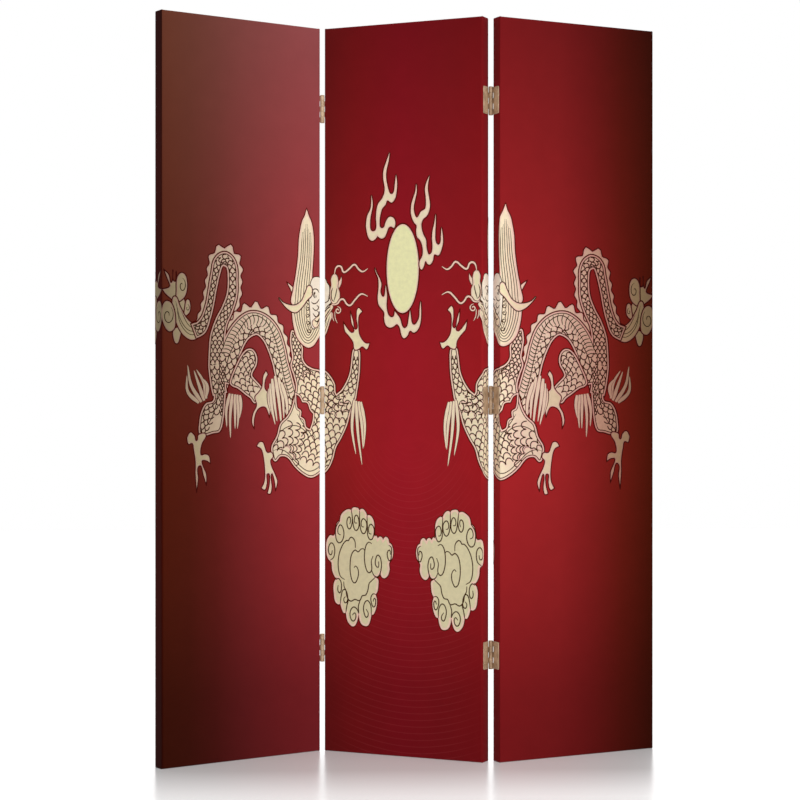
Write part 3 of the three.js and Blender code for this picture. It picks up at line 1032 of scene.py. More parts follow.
def drawHead(drawing):
    drawing.figure([(281, 971, tip), (291, 965), (298, 958), (298, 946), (288, 959)], pawCore, lobeBands)
    spire = [(295, 925), (297, 958), (302, 983), (308, 1025), (310, 1060), (314, 1084), (318, 1099),
             (324, 1110), (328, 1123, tip), (333, 1110), (339, 1098), (343, 1082), (345, 1060), (344, 1025),
             (341, 983), (343, 960), (340, 925)]
    mane = [(294, 925), (294, 905), (297, 883), (305, 858), (320, 842), (333, 837), (345, 842), (354, 854),
            (364, 868), (372, 890), (378, 906), (360, 930), (330, 940), (305, 938)]
    cores = drawing.joined([smooth(spire), smooth(mane)], hairCore, hairBands)
    for share in (0.14, 0.28, 0.42, 0.58, 0.72, 0.86):
        drawing.stroke(smooth([
            (294 + 44 * share, 915), (299 + 40 * share, 965), (309 + 34 * share, 1020),
            (315 + 26 * share, 1075), (319 + 18 * share, 1098 - 70 * abs(share - 0.5)),
        ], False), 1.5, clip=cores[0])
    for k in range(6):
        drawing.stroke(smooth([
            (300 + 6 * k, 935), (300 + 5.5 * k, 905 + k), (307 + 4.4 * k, 876 + 2.5 * k),
            (319 + 2.6 * k, 852 + 5 * k), (332, 846 + 5.4 * k), (344 - 2.2 * k, 853 + 5 * k),
            (354 - 3.6 * k, 868 + 3.8 * k), (366 - 5 * k, 892 + k),
        ], False), 1.5, clip=cores[1])
    drawing.strokes([
        [(372, 902), (366, 884), (359, 866)], [(367, 903), (361, 888), (356, 876)],
    ], 1.5, clip=cores[1])
    for s, z, radius in ((333, 932, 6), (331, 918, 5), (331, 904, 5), (332, 889, 5), (335, 872, 5)):
        drawing.lay(spiral((s, z), radius + 1.5, 1, 90, 1, 1.2), "hide")
        drawing.stroke(spiral((s, z), radius, 1.3, 90, 1, 1.2), 2.0)
    face = [(334, 945), (337, 968), (342, 980), (350, 984), (360, 982), (367, 970), (376, 958), (378, 940),
            (372, 926), (360, 905), (352, 882), (344, 876), (338, 886), (336, 910)]
    drawing.figure(face, ("face", 1.0), [("line", 1.4), ("face", -0.4)])
    jaw = [(342, 890), (347, 879), (354, 881), (364, 900), (380, 921), (376, 926), (362, 912), (352, 900)]
    drawing.figure(jaw, ("hide", 1.8), [("line", 1.4), ("rim", 0.0)])
    drawing.figure([
        (262, 939, tip), (272, 929), (287, 924), (302, 924), (316, 933), (325, 950), (335, 965), (341, 948),
        (329, 935), (316, 919), (302, 909), (285, 915), (270, 929),
    ], ("paw", 1.8), [("line", 2.2), ("rim", 0.0)])
    thorn = [(391, 959), (396, 963), (400, 973), (400, 985, tip), (396, 977), (390, 970)]
    drawing.figure(thorn, ("rim", 0.4), [("shadow", 1.0)])
    snout = [(383, 990), (389, 986), (392, 974), (391, 963), (395, 952), (395, 939), (391, 930), (384, 926),
             (377, 931), (373, 942), (373, 955), (376, 967), (375, 978), (378, 986)]
    drawing.figure(snout, ("hide", 2.6), [("line", 1.4), ("rim", 0.0)])
    nostril = [(382, 985), (387, 980), (388, 970), (386, 960), (381, 959), (378, 967), (378, 977)]
    drawing.figure(nostril, ("paw", 0.8), [])
    drawing.lay(spiral((349, 945), 6.5, 1, 90, 1, 1.3), "line")
    drawing.lay(spiral((350, 944), 4.2, 1, 90, 1, 1.3), "face")
    drawing.lay(spiral((351, 943), 2.4, 1, 90, 1, 1.2), "line")
    drawing.strokes([
        [(340, 950), (345, 958), (353, 958), (358, 951)], [(339, 932), (345, 928), (353, 931), (358, 938)],
        [(342, 920), (350, 914), (357, 921), (352, 925)], [(343, 908), (351, 901), (359, 908), (353, 913)],
        [(346, 895), (353, 891), (358, 897)], [(360, 930), (368, 934), (372, 942)],
        [(362, 918), (370, 926), (378, 930)], [(364, 974), (371, 966), (372, 952), (369, 938)],
        [(389, 960), (386, 946), (382, 934)], [(379, 961), (376, 952), (376, 941), (379, 934), (383, 933)],
        [(352, 884), (362, 902), (374, 918)], [(356, 908), (366, 918), (374, 922)],
    ], 2.2)
    drawing.strokes([
        [(376, 928), (381, 926), (390, 928), (397, 936), (404, 937), (412, 927), (420, 924), (432, 936),
         (446, 947), (461, 942)],
        [(383, 988), (386, 1001), (392, 1006), (399, 1004), (405, 993), (417, 999), (430, 1008), (439, 999),
         (449, 993), (461, 999)],
    ], 3.6, "rim", halo=1.8)
    drawing.stroke(spiral((391, 914), 8, 1.3, 100, -1), 2.6, "rim", halo=1.2)
    drawing.strokes([
        [(384, 912), (385, 898), (390, 888)], [(379, 910), (379, 900), (382, 892)],
    ], 1.8, "rim", halo=1.0)


def drawCloud(drawing):
    drawing.figure([
        (364, 418), (365, 436), (373, 448), (381, 447), (385, 451, tip), (386, 462), (390, 474),
        (396, 479, tip), (399, 491), (407, 499), (416, 503), (423, 501, tip), (426, 506), (432, 507),
        (439, 505), (442, 500, tip), (445, 504), (451, 503), (457, 496), (459, 490, tip), (463, 492),
        (470, 488), (475, 478), (476, 462), (476, 448, tip), (480, 450), (484, 444, tip), (488, 448),
        (493, 447), (496, 442, tip), (502, 448), (508, 444), (510, 436, tip), (515, 433), (519, 420),
        (517, 405), (510, 394), (511, 382), (507, 369), (499, 363), (492, 367), (490, 375, tip),
        (485, 366), (479, 365), (485, 360), (485, 347), (483, 335), (479, 329, tip), (482, 317),
        (480, 301), (474, 288), (469, 287, tip), (467, 276), (462, 265), (456, 263), (447, 266),
        (442, 275), (440, 288, tip), (437, 275), (432, 264), (426, 261), (419, 265), (413, 274),
        (410, 289, tip), (405, 288), (400, 297), (397, 307, tip), (392, 305), (385, 311), (382, 326),
        (381, 343), (384, 354), (390, 360, tip), (385, 361), (378, 375), (376, 392), (371, 396), (366, 404),
    ], cloudCore, cloudBands)
    curls = [
        [(423, 501), (425, 483), (423, 469), (418, 462), (413, 469), (413, 481), (418, 487), (421, 481),
         (419, 472)],
        [(423, 501), (426, 478), (429, 464), (434, 459), (440, 467), (440, 481), (435, 491), (430, 485),
         (431, 475), (436, 475)],
        [(442, 500), (442, 478), (445, 460), (451, 453), (457, 460), (458, 476), (451, 484), (446, 478),
         (447, 468), (452, 467)],
        [(459, 490), (460, 467), (461, 449), (468, 441), (474, 449), (475, 465), (468, 473), (463, 466),
         (464, 454), (469, 453)],
        [(396, 479), (387, 465), (386, 448), (390, 435), (397, 433), (404, 443), (405, 457), (398, 470),
         (392, 464), (392, 452), (398, 449)],
        [(373, 396), (381, 402), (384, 417), (381, 429), (375, 432), (369, 421), (371, 409), (376, 408),
         (378, 417)],
        [(509, 431), (515, 427), (515, 411), (512, 399), (507, 405), (506, 416), (511, 421), (513, 412)],
        [(470, 378), (476, 367), (485, 366), (491, 379), (492, 396), (485, 410), (479, 401), (479, 389),
         (485, 385), (486, 397)],
        [(479, 329), (473, 330), (468, 322), (470, 309), (475, 303), (479, 311), (477, 321), (473, 314)],
        [(469, 287), (468, 305), (462, 315), (456, 314), (451, 302), (453, 288), (458, 281), (462, 289),
         (457, 298)],
        [(440, 288), (435, 298), (427, 301), (420, 291), (421, 278), (427, 272), (433, 279), (431, 289),
         (425, 284)],
        [(397, 307), (399, 323), (403, 335), (409, 336), (414, 324), (413, 312), (408, 309), (405, 317),
         (409, 322)],
        [(387, 356), (393, 359), (399, 350), (399, 335), (395, 329), (391, 335), (392, 345)],
    ]
    folds = [
        [(432, 423), (431, 437), (424, 445), (419, 443), (416, 438), (411, 438), (402, 428), (394, 408),
         (392, 384), (397, 364), (407, 357)],
        [(454, 417), (451, 422), (445, 421), (438, 415), (432, 419), (424, 411), (420, 393), (421, 368),
         (429, 351), (437, 360), (439, 376), (433, 386), (429, 382)],
        [(470, 433), (463, 436), (456, 427), (453, 403), (457, 381), (464, 373), (470, 380), (469, 397),
         (473, 408)],
        [(479, 365), (470, 357), (464, 351), (461, 337), (456, 327), (448, 325), (442, 315), (431, 317),
         (421, 313), (413, 321), (410, 335), (406, 342), (405, 353)],
        [(440, 288), (439, 303), (443, 315)], [(410, 289), (412, 302), (416, 315)],
    ]
    drawing.strokes(curls + folds, 2.4, endShare=0.7)


figures = Drawing()
drawPearl(figures)
pearlLayers = len(figures.layers)
for draw in (drawTail, drawBody, drawHindLegs, drawChest, drawArm, drawHead, drawCloud):
    draw(figures)
mirrorLine = np.array([1091.0, 0.0])
flip = np.array([-1.0, 1.0])


def mirrored(loop):
    return None if loop is None else (loop * flip + mirrorLine)[::-1]


layers = list(figures.layers)
for loop, ink, clip, solid in figures.layers[pearlLayers:]:
    layers.append((mirrored(loop), ink, mirrored(clip), solid))

# where each panel's front starts on the picture, and how much of it a millimetre of front shows
windows = {"left": (0.0, 1.0), "middle": (360.0, 1.0), "right": (751.4, 0.939)}
wrap = panelDepth  # the picture runs on round a panel's edges
mergeReach = 0.002
inkOrder = list(printInks)
printLayers = {"figures": [ink for ink in inkOrder if ink not in lineInks], "lines": lineInks}


def windingOf(places, loop):
    # how many times a closed loop runs round each place; the places are in order of height
    total = np.zeros(len(places), dtype=int)
    ahead = np.roll(loop, -1, axis=0)
    starts = np.searchsorted(places[:, 1], np.minimum(loop[:, 1], ahead[:, 1]))
    stops = np.searchsorted(places[:, 1], np.maximum(loop[:, 1], ahead[:, 1]))
    for (ax, az), (bx, bz), start, stop in zip(loop, ahead, starts, stops):
        if start < stop:
            x, z = places[start:stop].T
            side = (bx - ax) * (z - az) - (x - ax) * (bz - az)
            total[start:stop] += (side > 0).astype(int) if bz > az else -(side < 0).astype(int)
    return total


def layersOn(panel):
    # the layers that reach a panel, in its own millimetres
    first, rate = windows[panel]
    shift, scale = np.array([first, 0.0]), np.array([1 / rate, 1.0])
    reached = []
    for loop, ink, clip, solid in layers:
        loop = (loop - shift) * scale
        if loop[:, 0].max() > -wrap and loop[:, 0].min() < panelWidth + wrap:
            clip = None if clip is None else (clip - shift) * scale
            reached.append((loop, ink, clip, solid))
    return reached


def printedTriangles(panel):
    # the figures on one panel and round its edges as triangles that don't overlap
    reached = layersOn(panel)
    points, edges = [], []
    for loop, _, _, _ in reached:
        start = len(points)
        points.extend(loop)
        edges.extend((start + i, start + (i + 1) % len(loop)) for i in range(len(loop)))
    low, high = min(p[1] for p in points) - 5, max(p[1] for p in points) + 5
    radius = canvas["edgeRadius"]
    seams = [-wrap, -radius, -radius / 2, 0.0, radius / 2, radius, wrap]
    for u in seams + [panelWidth - u for u in seams]:
        start = len(points)
        points.extend([(u, low), (u, high)])
        edges.append((start, start + 1))
    flat = [Vector((float(p[0]), float(p[1]))) for p in points]
    places, _, faces, _, _, _ = delaunay_2d_cdt(flat, edges, [], 0, mergeReach)
    places = np.array([tuple(p) for p in places])
    faces = np.array(faces)
    faces = faces[np.argsort(places[faces][:, :, 1].sum(axis=1))]
    middles = places[faces].mean(axis=1)
    inkNumber = np.full(len(faces), -1)
    for loop, ink, clip, solid in reached:
        winding = windingOf(middles, loop)
        inside = np.nonzero(winding > 0 if solid else winding)[0]
        if clip is not None:
            inside = inside[windingOf(middles[inside], clip) > 0]
        inkNumber[inside] = -1 if ink is None else inkOrder.index(ink)
    kept = (inkNumber >= 0) & (middles[:, 0] > -wrap) & (middles[:, 0] < panelWidth + wrap)
    return places, faces[kept], inkNumber[kept]


def onCanvas(u, z, side):
    # a place on the print as a place in the panel: side 0 is the front, -1 and 1 the wrapped edges
    radius = canvas["edgeRadius"]
    depth = min(abs(u), abs(panelWidth - u))
    bend = math.radians(45) * max(0.0, 1 - depth / radius)
    reach = radius + figureLift
    if side == 0:
        x = u - halfWidth
        if bend > 0:
            x = math.copysign(halfWidth - radius + reach * math.sin(bend), x)
        return (x, -halfDepth + radius - reach * math.cos(bend) + sinking(u - halfWidth, z), z)
    x = side * (halfWidth - radius + reach * math.cos(bend))
    y = -halfDepth + (depth if bend == 0 else radius - reach * math.sin(bend))
    return (x, y, z)


def printMesh(number, label, copies, places, faces, inkNumber):
    # the triangles of some inks on the front and both edges as one mesh
    names = printLayers[label]
    corners, triangles, numbers, plans = [], [], [], []
    for side, chosen, isTurned in copies:
        wanted = chosen & np.isin(inkNumber, [inkOrder.index(name) for name in names])
        used, index = np.unique(faces[wanted], return_inverse=True)
        index = index.reshape(-1, 3) + len(corners)
        if isTurned:
            index = index[:, ::-1]
        corners.extend(onCanvas(u, z, side) for u, z in places[used])
        plans.extend((u, z, side, isTurned) for u, z in places[used])
        triangles.extend(index.tolist())
        numbers.extend(inkNumber[wanted])
    mesh = bpy.data.meshes.new(label)
    mesh.from_pydata(corners, [], triangles)
    printLayer = mesh.uv_layers.new(name=printMap)
    bakeLayer = mesh.uv_layers.new(name=bakeMap)
    border = wrap + 2  # room round the front in the bake's layout
    for loop in mesh.loops:
        u, z, side, isTurned = plans[loop.vertex_index]
        inner = min(abs(u), 2 * panelWidth - abs(u)) if side else u
        printLayer.uv[loop.index].vector = ((number * panelWidth + inner) / printWidth, z / height)
        across = u
        if isTurned:
            across = -u if side < 0 else 2 * panelWidth - u
        bakeLayer.uv[loop.index].vector = ((across + border) / (panelWidth + 2 * border), z / height)
    for polygon, ink in zip(mesh.polygons, numbers):
        polygon.material_index = names.index(inkOrder[ink])
    return mesh


for number, panel in enumerate(panels):
    places, faces, inkNumber = printedTriangles(panel)
    us = places[faces][:, :, 0].mean(axis=1)
    # at a join the picture runs on round the edge; at the screen's ends it turns back on itself
    left, right = (-1, us < 0, False), (1, us > panelWidth, False)
    if number == 0:
        left = (-1, (us > 0) & (us < wrap), True)
    if number == len(panels) - 1:
        right = (1, (us > panelWidth - wrap) & (us < panelWidth), True)
    copies = [(0, (us > 0) & (us < panelWidth), False), left, right]
    for label, names in printLayers.items():
        mesh = printMesh(number, label, copies, places, faces, inkNumber)
        print(panel, label, "triangles:", len(mesh.polygons))
        addPiece(panel + "_print_" + label, mesh, panel, [inks[name] for name in names], 60)
print("figures printed")


# Staples through the turned canvas
staples = {
    "width": 10.5,
    "wire": 1.1,
    "flat": 0.55,
    "leg": 2.2,
    "bend": 0.7,
    "spacing": 72,
    "inset": 11,
    "firstUp": 60,
    "onRails": 5,
    "tilt": 9,  # how unevenly they are driven, in degrees and in millimetres
    "slide": 2,
}


def sweep(shape, path, halfWide, halfFlat, place):
    # a flat wire along a path of (across, out) points
    rings = []
    for i, (across, out) in enumerate(path):
        before = path[max(i - 1, 0)]
        after = path[min(i + 1, len(path) - 1)]
        way = Vector((after[0] - before[0], after[1] - before[1])).normalized()
        side = Vector((-way.y, way.x)) * halfFlat
        ring = []
        for flat, wide in ((-1, -1), (1, -1), (1, 1), (-1, 1)):
            ring.append(shape.verts.new(place(across + side.x * flat, out + side.y * flat, halfWide * wide)))
        rings.append(ring)
    for first, second in zip(rings, rings[1:]):
        bridge(shape, first, second)
    shape.faces.new(rings[0])
    shape.faces.new(rings[-1])


def staplePath():
    half, bend, steps = staples["width"] / 2, staples["bend"], 4
    path = [(-half, -staples["leg"])]
    for i in range(steps + 1):
        turn = math.radians(90 * i / steps)
        path.append((-half + bend * (1 - math.cos(turn)), staples["flat"] / 2 - bend * (1 - math.sin(turn))))
    return path + [(-x, out) for x, out in reversed(path)]


def stapleMesh(dice):
    shape = bmesh.new()
    path = staplePath()
    inset, firstUp, tilt = staples["inset"], staples["firstUp"], staples["tilt"]
    run = height - 2 * firstUp
    rows = round(run / staples["spacing"])
    places = []
    for side in (-1, 1):
        beside = side * (halfWidth - inset)
        places += [(beside, firstUp + run * i / rows, 90) for i in range(rows + 1)]
    middle = (staples["onRails"] - 1) / 2
    for z in (inset, height - inset):
        places += [((i - middle) * staples["spacing"], z, 0) for i in range(staples["onRails"])]
    for x, z, turn in places:
        slant = math.radians(turn + dice.uniform(-tilt, tilt))
        slide = dice.uniform(-staples["slide"], staples["slide"])
        way = Vector((math.cos(slant), math.sin(slant)))

        def place(across, out, wide, x=x, z=z, way=way, slide=slide):
            wide += slide
            return (x + way.x * across - way.y * wide, halfDepth + out, z + way.y * across + way.x * wide)

        sweep(shape, path, staples["wire"] / 2, staples["flat"] / 2, place)
    bmesh.ops.recalc_face_normals(shape, faces=shape.faces)
    return meshOf(shape)


dice = random.Random(7)
for panel in panels:
    addPiece(panel + "_staples", stapleMesh(dice), panel, [stapleSteel], 30)
print("staples set")


# Butt hinges. A leaf's own axes: X through its plate, Y from the pin along the plate, Z up the pin
hinges = {
    "height": 55,
    "levels": {"bottom": 214, "middle": 728, "top": 1333},
    "gap": 10,  # between two panels opened flat
    "standOff": 1,
    "leafWidth": 26,
    "leafThickness": 1.6,
    "seat": 0.3,
    "knuckles": 5,
    "knuckleGap": 0.3,
    "knuckleEdge": 0.25,
    "outerRoll": (12, -295),  # degrees round the pin
    "innerRoll": (-290, 8),
    "rollSteps": 34,
    "rollFeet": (1.5, 1.9),  # where the plate's far and near faces bend into the roll
    "rollTop": 1.4,  # the plate is flat above it
    "barrelRadius": 4.5,
    "boreRadius": 2.9,
    "pinRadius": 2.75,
    "pinHead": 1.5,
    "headEdge": 0.2,
    "domeRise": 0.9,
    "cornerRadius": 3,
    "chamfer": 0.35,
    "sides": 40,
}
screws = {
    "spacing": 36,
    "headRadius": 3.0,
    "headRoom": 0.25,
    "headSink": 0.05,
    "shankRadius": 1.5,
    "shankRoom": 0.35,
    "length": 16,
    "bevel": 0.12,
    "neck": 3,  # without a thread
    "threadPitch": 1.1,
    "threadRoot": 0.78,
    "tipLength": 2.5,
    "tipShare": 0.7,
    "sides": 24,
    "slot": {"arm": 1.75, "half": 0.38, "depth": 1.1, "turn": 20, "taper": 0.7},
}
pinInset = hinges["gap"] / 2
pinOffset = halfDepth + hinges["standOff"]
plateFar = pinInset - hinges["seat"]
plateNear = plateFar - hinges["leafThickness"]
rollEnd = hinges["barrelRadius"] + hinges["knuckleGap"] + 0.1


def arc(centre, radius, start, end, steps):
    points = []
    for i in range(steps + 1):
        turn = math.radians(start + (end - start) * i / steps)
        points.append((centre[0] + radius * math.cos(turn), centre[1] + radius * math.sin(turn)))
    return points


def circle(centre, radius):
    sides = screws["sides"]
    return arc(centre, radius, 0, 360 - 360 / sides, sides - 1)


def isInside(places, loop):
    order = np.argsort(places[:, 1])
    inside = np.zeros(len(places), dtype=bool)
    inside[order] = windingOf(places[order], np.array(loop)) != 0
    return inside


def fillBetween(shape, outline, holes, place):
    # flat faces between an outline and its holes
    points, edges = [], []
    for loop in (outline, *holes):
        first = len(points)
        points += [Vector(p) for p in loop]
        edges += [(first + i, first + (i + 1) % len(loop)) for i in range(len(loop))]
    coords, _, faces, _, _, _ = delaunay_2d_cdt(points, edges, [], 1, 1e-5)
    corners = [shape.verts.new(place(p.x, p.y)) for p in coords]
    middles = np.array([np.mean([coords[i] for i in face], axis=0) for face in faces])
    isKept = isInside(middles, outline)
    for hole in holes:
        isKept &= ~isInside(middles, hole)
    for face, kept in zip(faces, isKept):
        if kept:
            shape.faces.new([corners[i] for i in face])


def wall(shape, lower, upper):
    # faces between two rings of as many points
    bridge(shape, *[[shape.verts.new(p) for p in ring] for ring in (lower, upper)])


def shrunk(outline, inset):
    cx = sum(p[0] for p in outline) / len(outline)
    cy = sum(p[1] for p in outline) / len(outline)
    halfX = max(abs(p[0] - cx) for p in outline)
    halfY = max(abs(p[1] - cy) for p in outline)
    return [(cx + (x - cx) * (1 - inset / halfX), cy + (y - cy) * (1 - inset / halfY)) for x, y in outline]


def weldedMesh(shape, toPanel):
    bmesh.ops.remove_doubles(shape, verts=shape.verts, dist=1e-4)
    bmesh.ops.recalc_face_normals(shape, faces=shape.faces)
    mesh = meshOf(shape)
    mesh.transform(toPanel)
    return mesh


def leafPlate(shape):
    # a plate with rounded, chamfered corners and countersunk holes
    half, radius, chamfer = hinges["height"] / 2, hinges["cornerRadius"], hinges["chamfer"]
    near, far = plateNear, plateFar
    end = hinges["standOff"] + hinges["leafWidth"]
    outline = [(rollEnd, -half)]
    outline += arc((end - radius, -half + radius), radius, -90, 0, 6)
    outline += arc((end - radius, half - radius), radius, 0, 90, 6)
    outline.append((rollEnd, half))
    small = shrunk(outline, chamfer)
    centres = [(pinOffset, side * screws["spacing"] / 2) for side in (-1, 1)]
    wide = [circle(centre, screws["headRadius"] + screws["headRoom"]) for centre in centres]
    tight = [circle(centre, screws["shankRadius"] + screws["shankRoom"]) for centre in centres]
    fillBetween(shape, small, wide, lambda y, z: (near, y, z))
    fillBetween(shape, outline, tight, lambda y, z: (far, y, z))
    wall(shape, [(near, *p) for p in small], [(near + chamfer, *p) for p in outline])
    wall(shape, [(near + chamfer, *p) for p in outline], [(far, *p) for p in outline])
    for ring, inner in zip(wide, tight):
        wall(shape, [(near, *p) for p in ring], [(far, *p) for p in inner])


def rolledKnuckle(shape, low, high):
    # the plate's edge, rolled round the pin
    outer, bore, edge = hinges["barrelRadius"], hinges["boreRadius"], hinges["knuckleEdge"]
    farFoot, nearFoot = hinges["rollFeet"]
    steps = hinges["rollSteps"]
    plateEnd = rollEnd + 0.2
    outside = [(plateFar, plateEnd), (plateFar, farFoot), *arc((0, 0), outer, *hinges["outerRoll"], steps)]
    inside = [*arc((0, 0), bore, *hinges["innerRoll"], steps), (plateNear, nearFoot), (plateNear, plateEnd)]
    rings = []
    for z, inset in ((low, edge), (low + edge, 0), (high - edge, 0), (high, edge)):
        ring = []
        for x, y in outside + inside:
            reach = math.hypot(x, y)
            shift = -inset if reach > (outer + bore) / 2 else inset
            scale = (reach + shift) / reach if y < hinges["rollTop"] else 1.0
            ring.append((x * scale, y * scale, z))
        rings.append(ring)
    for lower, upper in zip(rings, rings[1:]):
        wall(shape, lower, upper)
    for ring in (rings[0], rings[-1]):
        fillBetween(shape, [(x, y) for x, y, _ in ring], [], lambda x, y, z=ring[0][2]: (x, y, z))


def leafMesh(hasEndKnuckles, toPanel):
    shape = bmesh.new()
    leafPlate(shape)
    count, gap = hinges["knuckles"], hinges["knuckleGap"]
    length = (hinges["height"] - (count - 1) * gap) / count
    for i in range(0 if hasEndKnuckles else 1, count, 2):
        low = -hinges["height"] / 2 + i * (length + gap)
        rolledKnuckle(shape, low, low + length)
    return weldedMesh(shape, toPanel)


def latheMesh(profile, sides, toPanel, recess=None):
    # a turned piece about X from (radius, x) points; a recess closes its first ring
    shape = bmesh.new()
    turns = [2 * math.pi * i / sides for i in range(sides)]
    rings = []
    for radius, x in profile:
        ring = [(x, radius * math.cos(t), radius * math.sin(t)) for t in turns]
        rings.append(ring if radius > 0 else [(x, 0.0, 0.0)])
    made = [[shape.verts.new(p) for p in ring] for ring in rings]
    for lower, upper in zip(made, made[1:]):
        for i in range(sides):
            j = (i + 1) % sides
            ring = [lower[i % len(lower)], lower[j % len(lower)]]
            ring += [upper[j % len(upper)], upper[i % len(upper)]]
            kept = list(dict.fromkeys(ring))
            if len(kept) > 2:
                shape.faces.new(kept)
    if recess:
        recess(shape, rings[0])
    return weldedMesh(shape, toPanel)


def crossRecess(shape, ring):
    # the cross in a screw's head
    slot = screws["slot"]
    arm, half = slot["arm"], slot["half"]
    cross = []
    for i in range(4):
        turn = math.radians(90 * i + slot["turn"])
        c, s = math.cos(turn), math.sin(turn)
        for x, y in ((half, -half), (arm, -half), (arm, half)):
            cross.append((x * c - y * s, x * s + y * c))
    deep = [(y * slot["taper"], z * slot["taper"]) for y, z in cross]
    face = ring[0][0]
    floor = face + slot["depth"]
    fillBetween(shape, [(y, z) for _, y, z in ring], [cross], lambda y, z: (face, y, z))
    wall(shape, [(face, *p) for p in cross], [(floor, *p) for p in deep])
    fillBetween(shape, deep, [], lambda y, z: (floor, y, z))


def pinMesh(toPanel):
    half = hinges["height"] / 2 + hinges["seat"]
    top = half + hinges["pinHead"]
    head, edge, rise = hinges["barrelRadius"], hinges["headEdge"], hinges["domeRise"]
    upper = [(hinges["pinRadius"], half), (head - edge, half), (head, half + edge)]
    for degrees in (0, 20, 40, 60, 75):
        turn = math.radians(degrees)
        upper.append((head * math.cos(turn), top - rise + rise * math.sin(turn)))
    upper.append((0, top))
    profile = [(r, -z) for r, z in reversed(upper)] + upper
    stand = Matrix.Rotation(math.radians(-90), 4, "Y")
    return latheMesh(profile, hinges["sides"], toPanel @ stand)


def screwMesh(toPanel):
    head, shank, length = screws["headRadius"], screws["shankRadius"], screws["length"]
    bevel, pitch = screws["bevel"], screws["threadPitch"]
    profile = [(head - bevel, 0.0), (head, bevel), (shank, head - shank + 0.1)]
    thread = head - shank + screws["neck"]
    while thread < length - screws["neck"]:
        profile += [(shank * screws["threadRoot"], thread), (shank, thread + pitch / 2)]
        thread += pitch
    profile += [(shank * screws["tipShare"], length - screws["tipLength"]), (0, length)]
    return latheMesh(profile, screws["sides"], toPanel, crossRecess)


def pinPlace(side, face, z):
    return Matrix.Translation((side * (halfWidth + pinInset), face * pinOffset, z))


def hingeHalf(panel, join, label, side, face, hasEndKnuckles):
    turn = Matrix.Rotation(math.pi if face > 0 else 0.0, 4, "X")
    turn = turn @ Matrix.Rotation(math.pi if side > 0 else 0.0, 4, "Y")
    upwards = -side * face
    headPlace = plateNear + screws["headSink"]
    for level, z in hinges["levels"].items():
        toPanel = pinPlace(side, face, z) @ turn
        name = f"{join}_{level}_hinge_{label}"
        mesh = leafMesh(hasEndKnuckles, toPanel)
        leaf = addPiece(name + "_rolled_leaf", mesh, panel, [hingeBrass], 35)
        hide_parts(name + "_leaf")
        for end, way in (("lower", -1), ("upper", 1)):
            rise = upwards * way * screws["spacing"] / 2
            mesh = screwMesh(toPanel @ Matrix.Translation((headPlace, pinOffset, rise)))
            screw = addPiece(f"{name}_{end}_cross_screw", mesh, panel, [screwBrass], 40)
            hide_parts(f"{name}_{end}_screw")


def hingePins(panel, join, side, face):
    for level, z in hinges["levels"].items():
        name = f"{join}_{level}_hinge_pin"
        mesh = pinMesh(pinPlace(side, face, z))
        pin = addPiece(name + "_domed", mesh, panel, [hingeBrass], 35)
        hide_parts(name)


front, back, leftEdge, rightEdge = -1, 1, -1, 1
hingeHalf("left", "left_join", "left", rightEdge, front, True)
hingeHalf("middle", "left_join", "right", leftEdge, front, False)
hingePins("middle", "left_join", leftEdge, front)
hingeHalf("middle", "right_join", "left", rightEdge, back, False)
hingePins("middle", "right_join", rightEdge, back)
hingeHalf("right", "right_join", "right", leftEdge, back, True)
print("hinges hung")


# Floor, daylight and camera, in metres
floorPlan = {
    "size": 14.0,
    "shade": 0.9,
    # from before the panels to behind them, by Y + 0.5: the polish shows the panels most at their feet
    "polish": [(0.08, 0.02), (0.15, 0.08), (0.36, 0.5), (0.58, 0.6)],
    "glow": [(0.08, 0.34), (0.15, 0.29), (0.36, 0.2), (0.58, 0.2)],
}
skyLevel = 0.6
lamps = {
    "key": {"place": (3.4, -3.0, 2.6), "size": 2.6, "watts": 92},
    "fill": {"place": (-2.6, -3.4, 2.4), "size": 3.0, "watts": 22},
    "behind": {"place": (0.5, 3.4, 3.0), "size": 2.6, "watts": 34},
}
lampAim = (0, 0, 0.8)
cameraPlan = {
    "place": (0.0665, -4.1512, 0.7358),
    "turn": -2.32,
    "lens": 91.49,
    "sensor": 36.0,
    "shift": (-0.1569, -0.0044),
    "sight": 60,
}


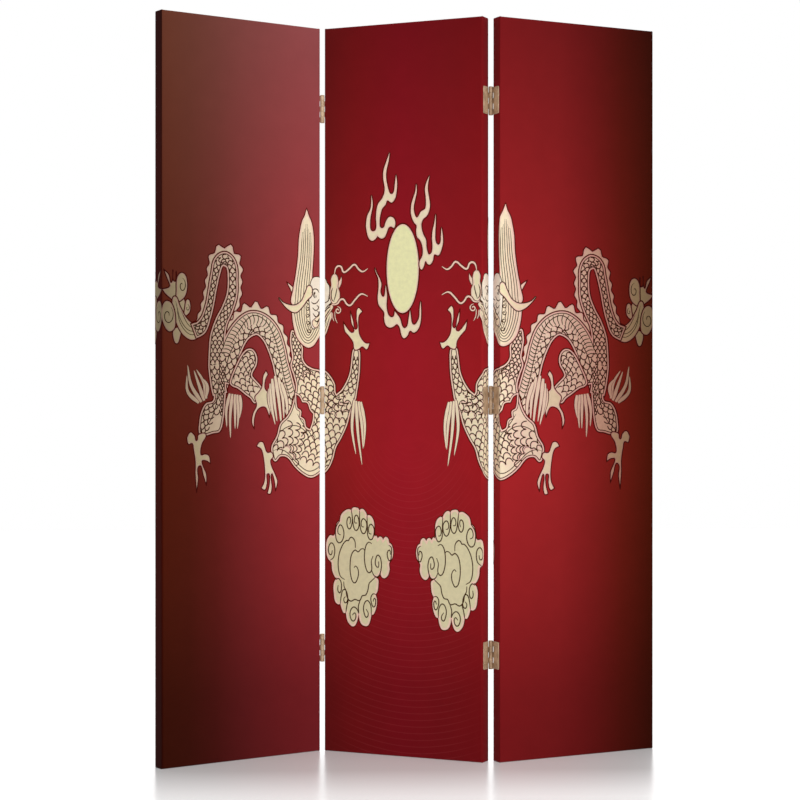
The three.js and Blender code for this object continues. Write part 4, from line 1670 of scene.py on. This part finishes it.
def makeFloor():
    half = floorPlan["size"] / 2
    mesh = bpy.data.meshes.new("floor")
    corners = [(x * half, y * half, 0) for x, y in ((-1, -1), (1, -1), (1, 1), (-1, 1))]
    mesh.from_pydata(corners, [], [(0, 1, 2, 3)])
    floor = bpy.data.objects.new("floor", mesh)
    bpy.context.scene.collection.objects.link(floor)
    finish = Finish("paleFloor", {
        "Base Color": plain(floorPlan["shade"]), "Roughness": 0.22, "Specular IOR Level": 0.25,
        "Emission Strength": 1.0,
    })
    _, deep, _ = finish.axes(finish.place())
    glow = finish.ramp(deep + 0.5, levelled(floorPlan["glow"]))
    finish.put("Metallic", finish.ramp(deep + 0.5, levelled(floorPlan["polish"])))
    finish.put("Emission Color", finish.mix(finish.seenRay(), plain(0.0), glow))
    mesh.materials.append(finish.material)


def makeSky():
    world = bpy.data.worlds.new("studio")
    bpy.context.scene.world = world
    world.use_nodes = True
    sky = NodeTree(world.node_tree)
    colour = sky.mix(sky.seenRay(), plain(skyLevel), plain(1.0))
    sky.feed(sky.nodes["Background"].inputs["Color"], colour)


def makeLamp(name, place, size, watts):
    lamp = bpy.data.lights.new(name, "AREA")
    lamp.size = size
    lamp.energy = watts
    holder = bpy.data.objects.new(name, lamp)
    holder.location = place
    holder.rotation_euler = (Vector(lampAim) - Vector(place)).to_track_quat("-Z", "Y").to_euler()
    bpy.context.scene.collection.objects.link(holder)


def makeCamera():
    camera = bpy.data.cameras.new("camera")
    camera.lens = cameraPlan["lens"]
    camera.sensor_width = cameraPlan["sensor"]
    camera.shift_x, camera.shift_y = cameraPlan["shift"]
    camera.clip_end = cameraPlan["sight"]
    holder = bpy.data.objects.new("camera", camera)
    holder.location = cameraPlan["place"]
    holder.rotation_euler = (math.radians(90), 0, math.radians(cameraPlan["turn"]))
    bpy.context.scene.collection.objects.link(holder)
    bpy.context.scene.camera = holder


makeFloor()
makeSky()
for name, lamp in lamps.items():
    makeLamp(name, **lamp)
makeCamera()
bpy.context.scene.view_settings.view_transform = "Standard"
print("studio ready")
